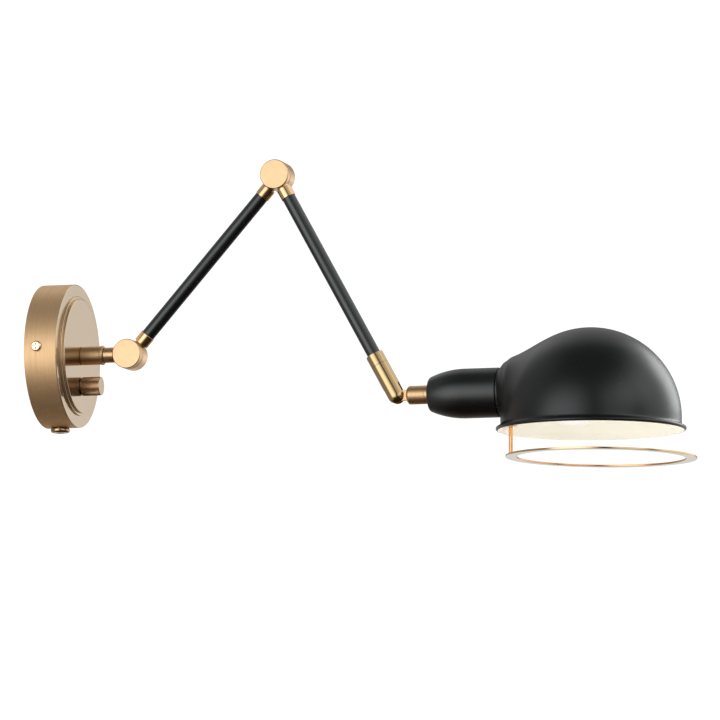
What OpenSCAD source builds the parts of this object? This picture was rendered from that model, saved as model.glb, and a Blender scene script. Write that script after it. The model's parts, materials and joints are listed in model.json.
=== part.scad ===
/* [Canopy] */
// Radius of the canopy's drum
canopy_r = 60; // [56:0.5:72]
// Depth of the drum from the wall to its front face
canopy_depth = 28; // [26:0.5:34]
// Sheet thickness of the canopy
canopy_wall = 1.2; // [0.8:0.1:1.6]
// Radius of the raised disc on the front face
disc_r = 47.8; // [42:0.1:49]
// Height of the raised disc above the front face
disc_rise = 3.5; // [2.5:0.1:4.5]
// Width of the step that runs round the raised disc
step_width = 2.2; // [1:0.1:3]
// Height of that step above the front face
step_rise = 1.5; // [1:0.1:2]
// Rounding of the canopy's edges
canopy_edge_r = 0.9; // [0.4:0.1:1.2]

/* [Wall bracket] */
// Width of the bracket's strip, up the wall
bracket_width = 30; // [28:1:34]
// Thickness of the bracket's strip
bracket_thick = 2; // [1.5:0.1:2.5]
// Height of the bracket's bent tabs out from the wall
bracket_tab_depth = 17; // [15:0.5:19]
// Distance between the two wall screw slots
wall_slot_spacing = 70; // [66:1:80]
// Width of a wall screw slot
wall_slot_width = 5; // [4:0.1:6]
// Length of a wall screw slot, end to end
wall_slot_length = 12; // [8:0.5:13]
// Radius of the hole for the house wiring
wiring_hole_r = 9; // [6:0.5:10]
// Distance of the canopy's side screws from the wall
side_screw_x = 11; // [10:0.5:13]
// Height of the canopy's side screws above the middle
side_screw_z = 2; // [0:0.5:4]
// Shank radius of a side screw
side_screw_r = 2; // [1.5:0.1:2.5]
// Head radius of a side screw
side_screw_head_r = 4.4; // [3.5:0.1:5]

/* [Cord inlet] */
// Distance of the cord inlet from the wall
inlet_x = 12.5; // [12:0.5:15]
// Width of the domed ring nut outside the inlet's thread
inlet_nut_width = 3; // [2:0.1:4]
// Height of the domed ring nut
inlet_nut_height = 4.2; // [4:0.1:7]
// Bore radius of the inlet bush
inlet_bore_r = 3.5; // [3:0.1:4.2]
// Wall of the inlet bush
inlet_wall = 1.5; // [1:0.1:2]
// Length of the inlet bush
inlet_length = 14; // [12:0.5:17]

/* [Dimmer] */
// Distance of the dimmer's axis below the stem
dimmer_drop = 25.7; // [24:0.1:29]
// Radius of the dimmer's knob
knob_r = 7.8; // [7:0.1:9]
// Length of the knob
knob_length = 16.3; // [14:0.1:22]
// Gap between the knob and the canopy
knob_gap = 0.6; // [0.4:0.1:1]
// Radius of the dimmer's shaft
dimmer_shaft_r = 3; // [2.5:0.1:3.6]
// Wall of the dimmer's threaded bush
dimmer_bush_wall = 0.8; // [0.6:0.1:1.2]
// Width and height of the dimmer's case
dimmer_case_size = 24; // [20:0.5:26]
// Depth of the dimmer's case
dimmer_case_depth = 15; // [13:0.5:17]

/* [Stem] */
// Distance of the shoulder's pivot from the wall
stem_reach = 72.4; // [70:0.2:90]
// Height of the fixed collar above the neck
collar_rise = 1.3; // [0.8:0.1:2]
// Length of the fixed collar outside the canopy
collar_length = 19.4; // [15:0.2:21]
// Height of the bead at the collar's end above the collar
collar_bead_rise = 0.5; // [0.3:0.1:1]
// Width of that bead
collar_bead_width = 1.6; // [1:0.1:2.5]
// Radius of the turning neck
neck_r = 6.4; // [5.8:0.1:8]
// Height of the neck above the spigot that turns in the collar
neck_shoulder = 1.4; // [1:0.1:2]
// Wall of the collar's threaded part inside the canopy
collar_thread_wall = 1.5; // [1:0.1:2]
// Radius of the wire bore through the stem
wire_bore_r = 3.2; // [2.9:0.1:3.4]

/* [Knuckles] */
// Radius of a knuckle's barrel
knuckle_r = 12.3; // [12:0.1:15]
// Distance from the stem's plane to the front of a barrel
knuckle_front = 8; // [7.5:0.1:9.6]
// Distance in front of the stem's plane where a barrel parts
parting = 1; // [0.8:0.1:1.2]
// Rounding of a barrel's face edge
knuckle_edge_r = 0.7; // [0.3:0.1:1]
// Wall of a barrel
knuckle_wall = 2.6; // [2:0.1:3]
// Outer radius of the hollow pivot bush
pivot_bush_r = 4; // [3.6:0.1:4.8]
// Wall of the pivot bush
pivot_bush_wall = 1.4; // [1:0.1:1.6]

/* [Arms] */
// Length of the lower arm, pivot to pivot
arm_1_length = 194; // [150:1:240]
// Angle of the lower arm above level
arm_1_angle = 48.8; // [40:0.2:60]
// Length of the upper arm, pivot to pivot
arm_2_length = 214; // [170:1:260]
// Angle of the upper arm above level
arm_2_angle = -61.2; // [-70:0.2:-50]
// Outer radius of an arm tube
tube_r = 5.65; // [5.3:0.05:6.8]
// Wall of an arm tube
tube_wall = 1; // [0.8:0.1:1.1]
// Height of a ferrule above its tube
ferrule_rise = 0.6; // [0.4:0.05:1]
// Length of a ferrule
ferrule_length = 9.1; // [7:0.1:12]
// Depth of a spigot inside a tube
spigot_grip = 12; // [8:0.5:16]
// Radius of the flexible lead inside the arms
lead_r = 2.4; // [2.1:0.1:2.6]

/* [Wrist] */
// Radius of the wrist's slotted body
clevis_r = 7.4; // [7:0.1:9]
// Length of the slotted body, from its ferrule to the pivot
clevis_length = 29.3; // [24:0.1:36]
// Length of the wrist's ferrule
wrist_ferrule_length = 10; // [8:0.1:13]
// Depth of the slot behind the pivot
slot_depth = 8.6; // [8:0.1:10]
// Thickness of the tongue in the slot
tongue_thick = 5; // [4:0.1:6]
// Thickness of the washers on both sides of the tongue
tongue_washer_thick = 0.6; // [0.4:0.1:1]
// Height of the tongue
tongue_height = 8.6; // [8:0.1:9]
// Radius of the wrist's pivot screw
wrist_pin_r = 2; // [1.8:0.1:2.2]
// Radius of the brass neck on the head
head_neck_r = 7.7; // [7.2:0.1:8.5]
// Gap between the slotted body's round end and the neck
head_neck_gap = 2.3; // [2:0.1:4]
// Length of the neck
head_neck_length = 17.9; // [15:0.1:22]
// Chamfer on the neck's near end
head_neck_chamfer = 1.6; // [0.5:0.1:2]

/* [Socket cover] */
// Length of the black cover over the lampholder
cover_length = 59.5; // [56:0.5:72]
// Radius of the cover's straight part
cover_r = 20.5; // [20.2:0.1:24]
// Length over which the cover tapers
cover_taper = 30.5; // [25:0.5:34]
// Radius of the arc that makes the taper
cover_arc_r = 72; // [68:1:90]
// Rounding of the cover's small end
cover_edge_r = 3; // [2:0.1:3.5]
// Wall of the cover
cover_wall = 1.5; // [1.2:0.1:1.6]
// Gap between the wrist's neck and the cover
cover_gap = 0.8; // [0.3:0.1:1]

/* [Lampholder] */
// Wall of the lampholder's body round the screw shell
holder_wall = 1.2; // [1:0.1:1.6]
// Height of the threaded skirt above the body
holder_thread_rise = 1.2; // [0.8:0.1:1.6]
// Depth of the dark seam, where the flange stands in from the cover
seam_inset = 1; // [0.6:0.1:1.4]
// Thickness of the shade flange, which shows as a dark seam
holder_flange_thick = 2.1; // [1.5:0.1:2.6]
// Length of the threaded skirt in front of the flange
holder_skirt_length = 12; // [11:0.5:14]
// Radius of the lamp cap's screw shell
cap_r = 13.1; // [11:0.05:14]

/* [Shade] */
// Outer radius of the dome
shade_r = 74; // [70:0.5:89]
// Distance from the underside of the neck up to the dome's centre
dome_above_neck = 3.2; // [2.6:0.1:4.4]
// Distance from the underside of the neck down to the rim
rim_below_neck = 7.2; // [6.5:0.1:14]
// Sheet thickness of the shade
shade_wall = 1.2; // [0.8:0.1:1.5]
// Height of the short neck that the lampholder enters above the cover
shade_neck_rise = 5.9; // [5:0.1:8]
// Rounding of the neck's shoulder
shade_shoulder_r = 4.6; // [4:0.1:5]
// Distance that the rim stands out from the dome
rim_flare = 3.8; // [3:0.1:4.5]
// Radius of the rolled bead at the rim
rim_bead_r = 1.7; // [1.4:0.1:2]

/* [Trim ring] */
// Distance that the ring below the shade stands out from the shade's rim
ring_overhang = 0.3; // [0:0.1:2]
// Width of the ring's flat
ring_width = 9.2; // [8:0.1:12]
// Thickness of the ring
ring_thick = 1.6; // [1.2:0.1:2]
// Distance from the shade's rim down to the ring's middle
ring_drop = 22; // [20:0.1:28]
// Angle by which the ring's free side hangs down
ring_sag = 0.8; // [0:0.1:2.5]
// Radius of the ring's single post
post_r = 1.95; // [1.6:0.05:2.2]
// Distance of the post from the shade neck's end
post_offset = 6.6; // [6.2:0.1:7.5]

/* [Bulb] */
// Radius of the bulb's globe
bulb_r = 29; // [27:0.5:29.5]
// Distance from the shade neck's end to the globe's centre
bulb_reach = 60; // [56:0.5:66]

/* [Clearances] */
// Radial clearance of a turning fit
running_fit = 0.06; // [0.03:0.01:0.08]
// Radial clearance of a fixed or threaded fit
fixed_fit = 0.05; // [0.03:0.01:0.08]
// Gap between two flat faces that rub
face_gap = 0.05; // [0.03:0.01:0.1]
// Gap between pieces that move past each other
moving_gap = 0.4; // [0.3:0.05:0.6]
// Radial clearance of a screw in a through hole
hole_clearance = 0.25; // [0.15:0.05:0.4]

/* [Hidden] */
$fn = 96;

brass = [0.72, 0.55, 0.34];
dark_brass = [0.42, 0.29, 0.17];
black = [0.09, 0.09, 0.10];
steel = [0.72, 0.73, 0.75];
nylon = [0.20, 0.20, 0.20];
cream = [0.93, 0.91, 0.84];
eps = 0.01;
far = 400;

// How far joined solids run into each other, and how far a cut runs past a face
lap = 1;
past = 1;
// Gap between pieces that are drawn up against each other
seat_gap = 0.1;

// Places along the stem, all measured out from the wall
face_x = canopy_depth + disc_rise;
face_back_x = face_x - canopy_wall;
step_edge_r = 0.6;
collar_seam = 0.5;
collar_r = neck_r + collar_rise;
collar_bead_r = collar_r + collar_bead_rise;
spigot_r = neck_r - neck_shoulder;
collar_thread_r = spigot_r + collar_thread_wall;
collar_end_x = face_x + collar_length;
swivel_washer_thick = 0.4;
neck_start_x = collar_end_x + swivel_washer_thick + 2 * face_gap;
collar_nut_thick = 3;
collar_tail = 7;
collar_tail_x = face_x - collar_tail;
collar_nut_flats = 2 * collar_thread_r + 4;
thrust_washer_thick = 0.7;
stem_locknut_thick = 3.2;
stem_locknut_flats = 2 * spigot_r + 4;
stem_locknut_x = collar_tail_x - thrust_washer_thick - 2 * face_gap - stem_locknut_thick;
stem_tail_x = stem_locknut_x - 1;
stem_lead_tail = 4;
wire_stop = 1.5;

// Round sizes of the arms
ferrule_r = tube_r + ferrule_rise;
arm_spigot_r = tube_r - tube_wall - hole_clearance;

// Layers of a knuckle along its barrel, from front to back
pivot_bore_r = pivot_bush_r - pivot_bush_wall;
pivot_nut_flats = 2 * pivot_bush_r + 4;
pivot_washer_thick = 0.5;
front_half_y = -parting - pivot_washer_thick / 2 - face_gap;
back_half_y = -parting + pivot_washer_thick / 2 + face_gap;
front_face_thick = 1.6;
front_web = 2;
back_web = 3.2;
back_web_y = back_half_y + back_web;
cap_thick = 1.6;
cap_y = back_half_y + 2 * ferrule_r + 2 * face_gap;
knuckle_back = cap_y + cap_thick;
cap_spigot = 1.5;
spring_washer_thick = 0.6;
pivot_nut_y = back_web_y + spring_washer_thick + 2 * face_gap;
pivot_nut_thick = 3;
bush_flange_thick = 1.2;
bush_flange_r = pivot_bush_r + 2;
bush_start_y = front_half_y - front_web - face_gap - bush_flange_thick;
bush_end_y = pivot_nut_y + pivot_nut_thick + 0.6;
chamber_r = knuckle_r - knuckle_wall;
root_r = knuckle_r + moving_gap;
link_r = ferrule_r - 1;
back_link_r = link_r - 0.3;
arm_1_plane = (back_half_y + cap_y) / 2 + 0.9;
front_link_y = (-knuckle_front + front_half_y) / 2;
channel_r = 1.5;
channel_start = 2;
channel_reach = 3;
cap_lip = 1.2;

// Pivots
shoulder = [stem_reach, 0, 0];
elbow = shoulder + arm_1_length * [cos(arm_1_angle), 0, sin(arm_1_angle)];
wrist = elbow + arm_2_length * [cos(arm_2_angle), 0, sin(arm_2_angle)];
tube_seat = 2.4;
link_end = root_r + seat_gap;
ferrule_start = link_end + seat_gap;
tube_start = ferrule_start + ferrule_length - tube_seat + seat_gap;
spigot_end = link_end + ferrule_length + spigot_grip;
slot_width = tongue_thick + 2 * tongue_washer_thick + 4 * face_gap;
head_neck_start = clevis_r + head_neck_gap;
head_neck_end = head_neck_start + head_neck_length;
wrist_joint_start = clevis_length + seat_gap + wrist_ferrule_length;

// Places along the head's axis, measured out from the wrist's pivot
cover_start = head_neck_end + cover_gap;
cover_end = cover_start + cover_length;
flange_start = cover_end + seat_gap;
holder_flange_r = cover_r - seam_inset;
shade_neck_r = cover_r + shade_neck_rise;
dome_drop = shade_neck_r - dome_above_neck;
rim_drop = shade_neck_r + rim_below_neck;
shade_start = flange_start + holder_flange_thick + face_gap;
shade_inner = shade_start + shade_wall;
bracket_sheet = 1.5;
ring_nut_start = shade_inner + bracket_sheet + 2 * face_gap;
ring_nut_width = 5;
holder_mouth = shade_start + holder_skirt_length;
holder_base_start = cover_start + 19;
holder_base_length = 15;
head_wire_start = head_neck_start + 4;
nipple_r = 5;
nipple_start = head_neck_end - 8;
nipple_end = holder_base_start + 9;
nipple_nut_thick = 3;
nipple_nut_flats = 14;
shell_r = cap_r + 0.9;
shell_wall = 0.4;
holder_body_r = shell_r + shell_wall + holder_wall;
holder_thread_r = holder_body_r + holder_thread_rise;
dome_x = shade_start + shade_r;
post_x = shade_start + post_offset;
foot_z = -dome_drop - 4.6;
ring_r = shade_r + rim_flare + ring_overhang;
ring_offset = ring_r - post_r - 0.3;
ring_z = -rim_drop - ring_drop + ring_offset * sin(ring_sag);
globe_x = shade_start + bulb_reach;
cap_length = 25;
cap_end = holder_mouth - 2;
cap_start = cap_end - cap_length;

// Bar along X from x0 to x1
module x_bar(r, x0, x1) {
    translate([x0, 0, 0]) rotate([0, 90, 0]) cylinder(r = r, h = x1 - x0);
}

// Tube along X
module x_tube(r_out, r_in, x0, x1) {
    difference() {
        x_bar(r_out, x0, x1);
        x_bar(r_in, x0 - past, x1 + past);
    }
}

// Cone along X
module x_cone(r0, r1, x0, x1) {
    translate([x0, 0, 0]) rotate([0, 90, 0]) cylinder(r1 = r0, r2 = r1, h = x1 - x0);
}

// Round ring about the X axis
module x_round(ring_radius, r, x) {
    translate([x, 0, 0]) rotate([0, 90, 0]) rotate_extrude() translate([ring_radius, 0]) circle(r = r);
}

// Bar along X whose far edge is rounded
module x_round_bar(r, x0, x1, edge) {
    x_bar(r, x0, x1 - edge);
    x_bar(r - edge, x0, x1);
    x_round(r - edge, edge, x1 - edge);
}

// Bar along Y from y0 to y1
module y_bar(r, y0, y1) {
    translate([0, y0, 0]) rotate([-90, 0, 0]) cylinder(r = r, h = y1 - y0);
}

// Tube along Y
module y_tube(r_out, r_in, y0, y1) {
    difference() {
        y_bar(r_out, y0, y1);
        y_bar(r_in, y0 - past, y1 + past);
    }
}

// Round ring about the Y axis
module y_round(ring_radius, r, y) {
    translate([0, y, 0]) rotate([-90, 0, 0]) rotate_extrude() translate([ring_radius, 0]) circle(r = r);
}

// Hexagonal nut along X
module x_nut(flats, bore, x0, x1) {
    difference() {
        translate([x0, 0, 0]) rotate([0, 90, 0]) cylinder(d = flats / cos(30), h = x1 - x0, $fn = 6);
        x_bar(bore, x0 - past, x1 + past);
    }
}

// Frames in which X runs along an arm or the head, from its pivot
module at_shoulder() { translate(shoulder) children(); }
module along_arm_1() { translate(shoulder) rotate([0, -arm_1_angle, 0]) children(); }
module along_arm_1_back() { translate(elbow) rotate([0, 180 - arm_1_angle, 0]) children(); }
module along_arm_2() { translate(elbow) rotate([0, -arm_2_angle, 0]) children(); }
module along_arm_2_back() { translate(wrist) rotate([0, 180 - arm_2_angle, 0]) children(); }
module at_wrist() { translate(wrist) children(); }
module in_arm_1_plane() { translate([0, arm_1_plane, 0]) children(); }

// Front half of a knuckle with its closed face, linked to whatever lies along +X
module knuckle_front_half() {
    difference() {
        union() {
            y_bar(knuckle_r, -knuckle_front + knuckle_edge_r, front_half_y);
            y_bar(knuckle_r - knuckle_edge_r, -knuckle_front, front_half_y);
            y_round(knuckle_r - knuckle_edge_r, knuckle_edge_r, -knuckle_front + knuckle_edge_r);
            intersection() {
                x_bar(link_r, chamber_r, link_end);
                translate([0, front_half_y - far, -far / 2]) cube([far, far, far]);
            }
        }
        y_bar(chamber_r, -knuckle_front + front_face_thick, front_half_y - front_web);
        y_bar(pivot_bush_r + fixed_fit, -knuckle_front + front_face_thick, front_half_y + past);
        translate([0, front_link_y, 0]) x_bar(channel_r, channel_start, root_r + channel_reach);
    }
}

// Back half of a knuckle, open at the back, linked to an arm spigot along +X
module knuckle_back_half() {
    difference() {
        union() {
            y_bar(knuckle_r, back_half_y, cap_y - face_gap);
            in_arm_1_plane() x_bar(back_link_r, chamber_r - lap, link_end);
            in_arm_1_plane() x_bar(arm_spigot_r, chamber_r, spigot_end);
        }
        y_bar(chamber_r, back_web_y, knuckle_back);
        y_bar(pivot_bush_r + running_fit, back_half_y - past, back_web_y + past);
        in_arm_1_plane() x_bar(lead_r + hole_clearance, 0, spigot_end + past);
    }
}

// Cap that closes the back of a knuckle
module knuckle_cap() {
    y_bar(knuckle_r, cap_y, knuckle_back - knuckle_edge_r);
    y_bar(knuckle_r - knuckle_edge_r, cap_y, knuckle_back);
    y_round(knuckle_r - knuckle_edge_r, knuckle_edge_r, knuckle_back - knuckle_edge_r);
    y_tube(chamber_r - fixed_fit, chamber_r - cap_lip, cap_y - cap_spigot, cap_y + eps);
}

// Hollow bush that a knuckle turns on
module pivot_bush() {
    difference() {
        union() {
            y_bar(pivot_bush_r, bush_start_y, bush_end_y);
            y_bar(bush_flange_r, bush_start_y, bush_start_y + bush_flange_thick);
        }
        y_bar(pivot_bore_r, bush_start_y - past, bush_end_y + past);
    }
}

// Friction washer between the halves and spring washer under the nut
module pivot_washers() {
    y_tube(chamber_r, pivot_bush_r + running_fit, front_half_y + face_gap, back_half_y - face_gap);
    y_tube(pivot_nut_flats / 2, pivot_bush_r + fixed_fit, back_web_y + face_gap, pivot_nut_y - face_gap);
}

// Nut that sets a knuckle's stiffness
module pivot_nut() {
    difference() {
        translate([0, pivot_nut_y, 0]) rotate([-90, 0, 0])
            cylinder(d = pivot_nut_flats / cos(30), h = pivot_nut_thick, $fn = 6);
        y_bar(pivot_bush_r + fixed_fit, pivot_nut_y - past, pivot_nut_y + pivot_nut_thick + past);
    }
}

// Brass sleeve between a pivot and its tube, counterbored for the tube's end
module ferrule(r, start, length) {
    difference() {
        x_bar(r, start, start + length);
        x_bar(arm_spigot_r + fixed_fit, start - past, start + length + past);
        x_bar(tube_r + fixed_fit, start + length - tube_seat - face_gap, start + length + past);
    }
}

// Slot with round ends, centred, running along Y and cut through along X
module wall_slot(y) {
    slot_r = wall_slot_width / 2;
    half = wall_slot_length / 2 - slot_r;
    for (side = [-1, 1]) translate([0, y + side * half, 0]) x_bar(slot_r, -past, bracket_thick + past);
    translate([-past, y - half, -slot_r]) cube([bracket_thick + 2 * past, 2 * half, wall_slot_width]);
}

tab_face_y = canopy_r - canopy_wall - 0.8;
tab_height = 12;
ground_y = -19;
ground_z = 9;
ground_screw_r = 2;

module wall_bracket() {
    color(steel) difference() {
        union() {
            intersection() {
                translate([0, -tab_face_y, -bracket_width / 2])
                    cube([bracket_thick, 2 * tab_face_y, bracket_width]);
                x_bar(tab_face_y, 0, bracket_thick);
            }
            for (side = [-1, 1])
                translate([0, side * (tab_face_y - bracket_thick / 2), side_screw_z])
                    translate([0, -bracket_thick / 2, -tab_height / 2])
                        cube([bracket_tab_depth, bracket_thick, tab_height]);
        }
        x_bar(wiring_hole_r, -past, bracket_thick + past);
        for (side = [-1, 1]) wall_slot(side * wall_slot_spacing / 2);
        translate([side_screw_x, 0, side_screw_z])
            y_bar(side_screw_r + fixed_fit, -canopy_r, canopy_r);
        translate([0, ground_y, ground_z])
            x_bar(ground_screw_r + fixed_fit, -past, bracket_thick + past);
    }
}

module ground_screw() {
    head_r = 2 * ground_screw_r;
    head_thick = 2.5;
    head_x = bracket_thick + face_gap;
    color(dark_brass) translate([0, ground_y, ground_z]) {
        x_bar(ground_screw_r, moving_gap, head_x + lap);
        x_bar(head_r, head_x, head_x + head_thick);
    }
}

block_y = 13;
block_width = 13;
block_height = 27;
block_depth = 12;
block_wire_r = 1.8;
block_clamp_r = 1.6;
block_wire_x = bracket_thick + 4.5;

module terminal_block() {
    pole = block_height / 3;
    color(cream) difference() {
        translate([bracket_thick + face_gap, block_y, -block_height / 2])
            cube([block_depth, block_width, block_height]);
        for (i = [-1 : 1]) translate([0, 0, i * pole]) {
            translate([block_wire_x, 0, 0]) y_bar(block_wire_r, 0, far);
            translate([0, block_y + block_width / 2, 0]) x_bar(block_clamp_r, block_wire_x, far);
        }
    }
}

// The canopy's drum and its stepped face meet on a plane behind the face's rounded edge
canopy_joint_x = canopy_depth - 2 * max(canopy_wall, canopy_edge_r);

module canopy() {
    color(brass) difference() {
        x_bar(canopy_r, 0, canopy_joint_x);
        x_bar(canopy_r - canopy_wall, -past, canopy_joint_x + past);
        translate([side_screw_x, 0, side_screw_z])
            y_bar(side_screw_r + hole_clearance, -canopy_r - past, canopy_r + past);
        translate([inlet_x, 0, -canopy_r - past])
            cylinder(r = inlet_thread_r + fixed_fit, h = canopy_r / 2);
    }
}

module canopy_face() {
    color(brass) difference() {
        union() {
            x_round_bar(canopy_r, canopy_joint_x, canopy_depth, canopy_edge_r);
            x_round_bar(disc_r + step_width, canopy_depth - lap, canopy_depth + step_rise, step_edge_r);
            x_round_bar(disc_r, canopy_depth - lap, face_x, step_edge_r);
        }
        x_bar(canopy_r - canopy_wall, canopy_joint_x - past, canopy_depth - canopy_wall);
        x_bar(disc_r - canopy_wall, canopy_joint_x - past, face_back_x);
        x_bar(collar_thread_r + fixed_fit, 0, face_x + past);
        translate([0, 0, -dimmer_drop]) x_bar(dimmer_bush_r + fixed_fit, 0, face_x + past);
    }
}

// Pan head screw along -Y with a cross recess
module side_screw() {
    seat = sqrt(pow(canopy_r, 2) - pow(side_screw_z, 2)) + face_gap;
    head_edge = 1.5;
    head_height = 2.1;
    crown_inset = 0.9;
    recess_depth = 1.1;
    recess_length = side_screw_head_r;
    recess_width = 0.9;
    difference() {
        union() {
            y_bar(side_screw_r, -seat - eps, -tab_face_y + bracket_thick + lap);
            y_bar(side_screw_head_r, -seat - head_edge, -seat);
            y_bar(side_screw_head_r - crown_inset, -seat - head_height, -seat);
        }
        for (turn = [0, 90]) rotate([0, turn, 0])
            translate([-recess_length / 2, -seat - head_height - past, -recess_width / 2])
                cube([recess_length, past + recess_depth, recess_width]);
    }
}

module side_screws() {
    color(brass) for (side = [0, 180])
        translate([side_screw_x, 0, side_screw_z]) rotate([side, 0, 0]) side_screw();
}

// The inlet bush's flange rests on the round inside of the drum
inlet_thread_r = inlet_bore_r + inlet_wall;
inlet_nut_r = inlet_thread_r + inlet_nut_width;
inlet_flange_r = inlet_thread_r + 2;
inlet_flange = 2;
inlet_seat_z = face_gap - sqrt(pow(canopy_r - canopy_wall, 2) - pow(inlet_flange_r, 2));
inlet_nut_front = 1.5;

module cord_bush() {
    color(dark_brass) translate([inlet_x, 0, 0]) difference() {
        union() {
            translate([0, 0, -canopy_r - inlet_nut_height + inlet_nut_front])
                cylinder(r = inlet_thread_r, h = inlet_length);
            translate([0, 0, inlet_seat_z]) cylinder(r = inlet_flange_r, h = inlet_flange);
        }
        translate([0, 0, -canopy_r - far / 2]) cylinder(r = inlet_bore_r, h = far);
    }
}

module cord_bush_nut() {
    straight_edge = 0.1;
    dome_r = min(2.6, (inlet_nut_height - face_gap) / 2 - straight_edge);
    color(dark_brass) translate([inlet_x, 0, -canopy_r - inlet_nut_height]) difference() {
        union() {
            translate([0, 0, dome_r]) cylinder(r = inlet_nut_r, h = inlet_nut_height - dome_r - face_gap);
            cylinder(r = inlet_nut_r - dome_r, h = dome_r + lap);
            translate([0, 0, dome_r]) rotate_extrude()
                translate([inlet_nut_r - dome_r, 0]) circle(r = dome_r);
        }
        translate([0, 0, inlet_nut_front]) cylinder(r = inlet_thread_r + fixed_fit, h = far);
        translate([0, 0, -past]) cylinder(r = inlet_bore_r, h = far);
    }
}

dimmer_bush_r = dimmer_shaft_r + dimmer_bush_wall;
dimmer_plate = 1;
dimmer_plate_x = face_back_x - dimmer_plate - face_gap;
dimmer_nut_thick = 2;
dimmer_bush_reach = 2;
wiper_r = 8;
wiper_thick = 2;
wiper_gap = 1.2;
wiper_x = dimmer_plate_x - 5;

module at_dimmer() { translate([0, 0, -dimmer_drop]) children(); }

module dimmer_case() {
    back_x = dimmer_plate_x - face_gap - dimmer_case_depth;
    color([0.12, 0.20, 0.32]) at_dimmer() difference() {
        translate([back_x, -dimmer_case_size / 2, -dimmer_case_size / 2])
            cube([dimmer_case_depth, dimmer_case_size, dimmer_case_size]);
        x_bar(wiper_r + wiper_gap, wiper_x - 2 * wiper_gap, far);
    }
}

module dimmer_bush() {
    color(steel) at_dimmer() difference() {
        union() {
            translate([dimmer_plate_x, -dimmer_case_size / 2, -dimmer_case_size / 2])
                cube([dimmer_plate, dimmer_case_size, dimmer_case_size]);
            x_bar(dimmer_bush_r, dimmer_plate_x, face_x + dimmer_nut_thick + dimmer_bush_reach);
        }
        x_bar(dimmer_shaft_r + running_fit, 0, far);
    }
}

module dimmer_nut() {
    flats = 2 * dimmer_bush_r + 3;
    color(steel) at_dimmer()
        x_nut(flats, dimmer_bush_r + fixed_fit, face_x + face_gap, face_x + dimmer_nut_thick);
}

knob_start = face_x + knob_gap;
knob_end = knob_start + knob_length;
knob_recess = 5;
knob_wall = 1.2;
knob_edge_r = 0.5;
knob_bore_end = knob_end - 3;
set_screw_r = 1.5;
set_screw_x = knob_start + knob_recess + 2 * set_screw_r;

module dimmer_shaft() {
    color(steel) at_dimmer() {
        x_bar(dimmer_shaft_r, wiper_x, knob_bore_end - moving_gap);
        x_bar(wiper_r, wiper_x, wiper_x + wiper_thick);
    }
}

module knob() {
    color(dark_brass) at_dimmer() difference() {
        x_round_bar(knob_r, knob_start, knob_end, knob_edge_r);
        x_bar(dimmer_shaft_r + fixed_fit, knob_start - past, knob_bore_end);
        x_bar(knob_r - knob_wall, knob_start - past, knob_start + knob_recess);
        translate([set_screw_x, 0, 0]) y_bar(set_screw_r + fixed_fit, 0, far);
    }
}

module knob_set_screw() {
    color(steel) at_dimmer() translate([set_screw_x, 0, 0])
        y_bar(set_screw_r, dimmer_shaft_r + face_gap, knob_r - knob_edge_r);
}

module stem_collar() {
    bead_x = collar_end_x - collar_bead_width - 0.6;
    bead_edge_r = 0.4;
    groove = 0.7;
    color(brass) difference() {
        union() {
            x_bar(collar_r, face_x + collar_seam, collar_end_x);
            x_bar(collar_r - groove, face_x + face_gap, face_x + collar_seam + lap);
            x_bar(collar_thread_r, collar_tail_x, face_x + lap);
            x_bar(collar_bead_r, bead_x + bead_edge_r, bead_x + collar_bead_width - bead_edge_r);
            for (x = [bead_edge_r, collar_bead_width - bead_edge_r])
                x_round(collar_bead_r - bead_edge_r, bead_edge_r, bead_x + x);
        }
        x_bar(spigot_r + running_fit, 0, far);
    }
}

module collar_nut() {
    color(steel) x_nut(collar_nut_flats, collar_thread_r + fixed_fit,
        face_back_x - face_gap - collar_nut_thick, face_back_x - face_gap);
}

// One washer outside between collar and neck, one inside under the locknut
module swivel_washers() {
    color(nylon) {
        x_tube(neck_r, spigot_r + fixed_fit, collar_end_x + face_gap, neck_start_x - face_gap);
        x_tube(stem_locknut_flats / 2, spigot_r + fixed_fit,
            collar_tail_x - face_gap - thrust_washer_thick, collar_tail_x - face_gap);
    }
}

module stem_neck() {
    color(brass) difference() {
        union() {
            at_shoulder() rotate([0, 180, 0]) knuckle_front_half();
            x_bar(neck_r, neck_start_x, stem_reach - root_r);
            x_bar(spigot_r, stem_tail_x, neck_start_x + lap);
        }
        x_bar(wire_bore_r, 0, stem_reach - root_r - wire_stop);
    }
}

module stem_locknut() {
    color(steel) x_nut(stem_locknut_flats, spigot_r + fixed_fit,
        stem_locknut_x, stem_locknut_x + stem_locknut_thick);
}

module stem_lead() {
    color(black) x_bar(lead_r, stem_tail_x - stem_lead_tail, stem_reach - root_r - 2 * wire_stop);
}

module shoulder_bush() { color(steel) at_shoulder() pivot_bush(); }
module shoulder_washers() { color(nylon) at_shoulder() pivot_washers(); }
module shoulder_nut() { color(steel) at_shoulder() pivot_nut(); }
module shoulder_back() { color(brass) along_arm_1() knuckle_back_half(); }
module shoulder_cap() { color(brass) at_shoulder() knuckle_cap(); }

module arm_1_ferrules() {
    color(brass) {
        along_arm_1() in_arm_1_plane() ferrule(ferrule_r, ferrule_start, ferrule_length);
        along_arm_1_back() in_arm_1_plane() ferrule(ferrule_r, ferrule_start, ferrule_length);
    }
}

module arm_1_tube() {
    color(black) along_arm_1() in_arm_1_plane()
        x_tube(tube_r, tube_r - tube_wall, tube_start, arm_1_length - tube_start);
}

module arm_1_lead() {
    color(black) along_arm_1() in_arm_1_plane() x_bar(lead_r, root_r, arm_1_length - root_r);
}

module elbow_back() { color(brass) along_arm_1_back() knuckle_back_half(); }
module elbow_cap() { color(brass) translate(elbow) knuckle_cap(); }

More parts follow.
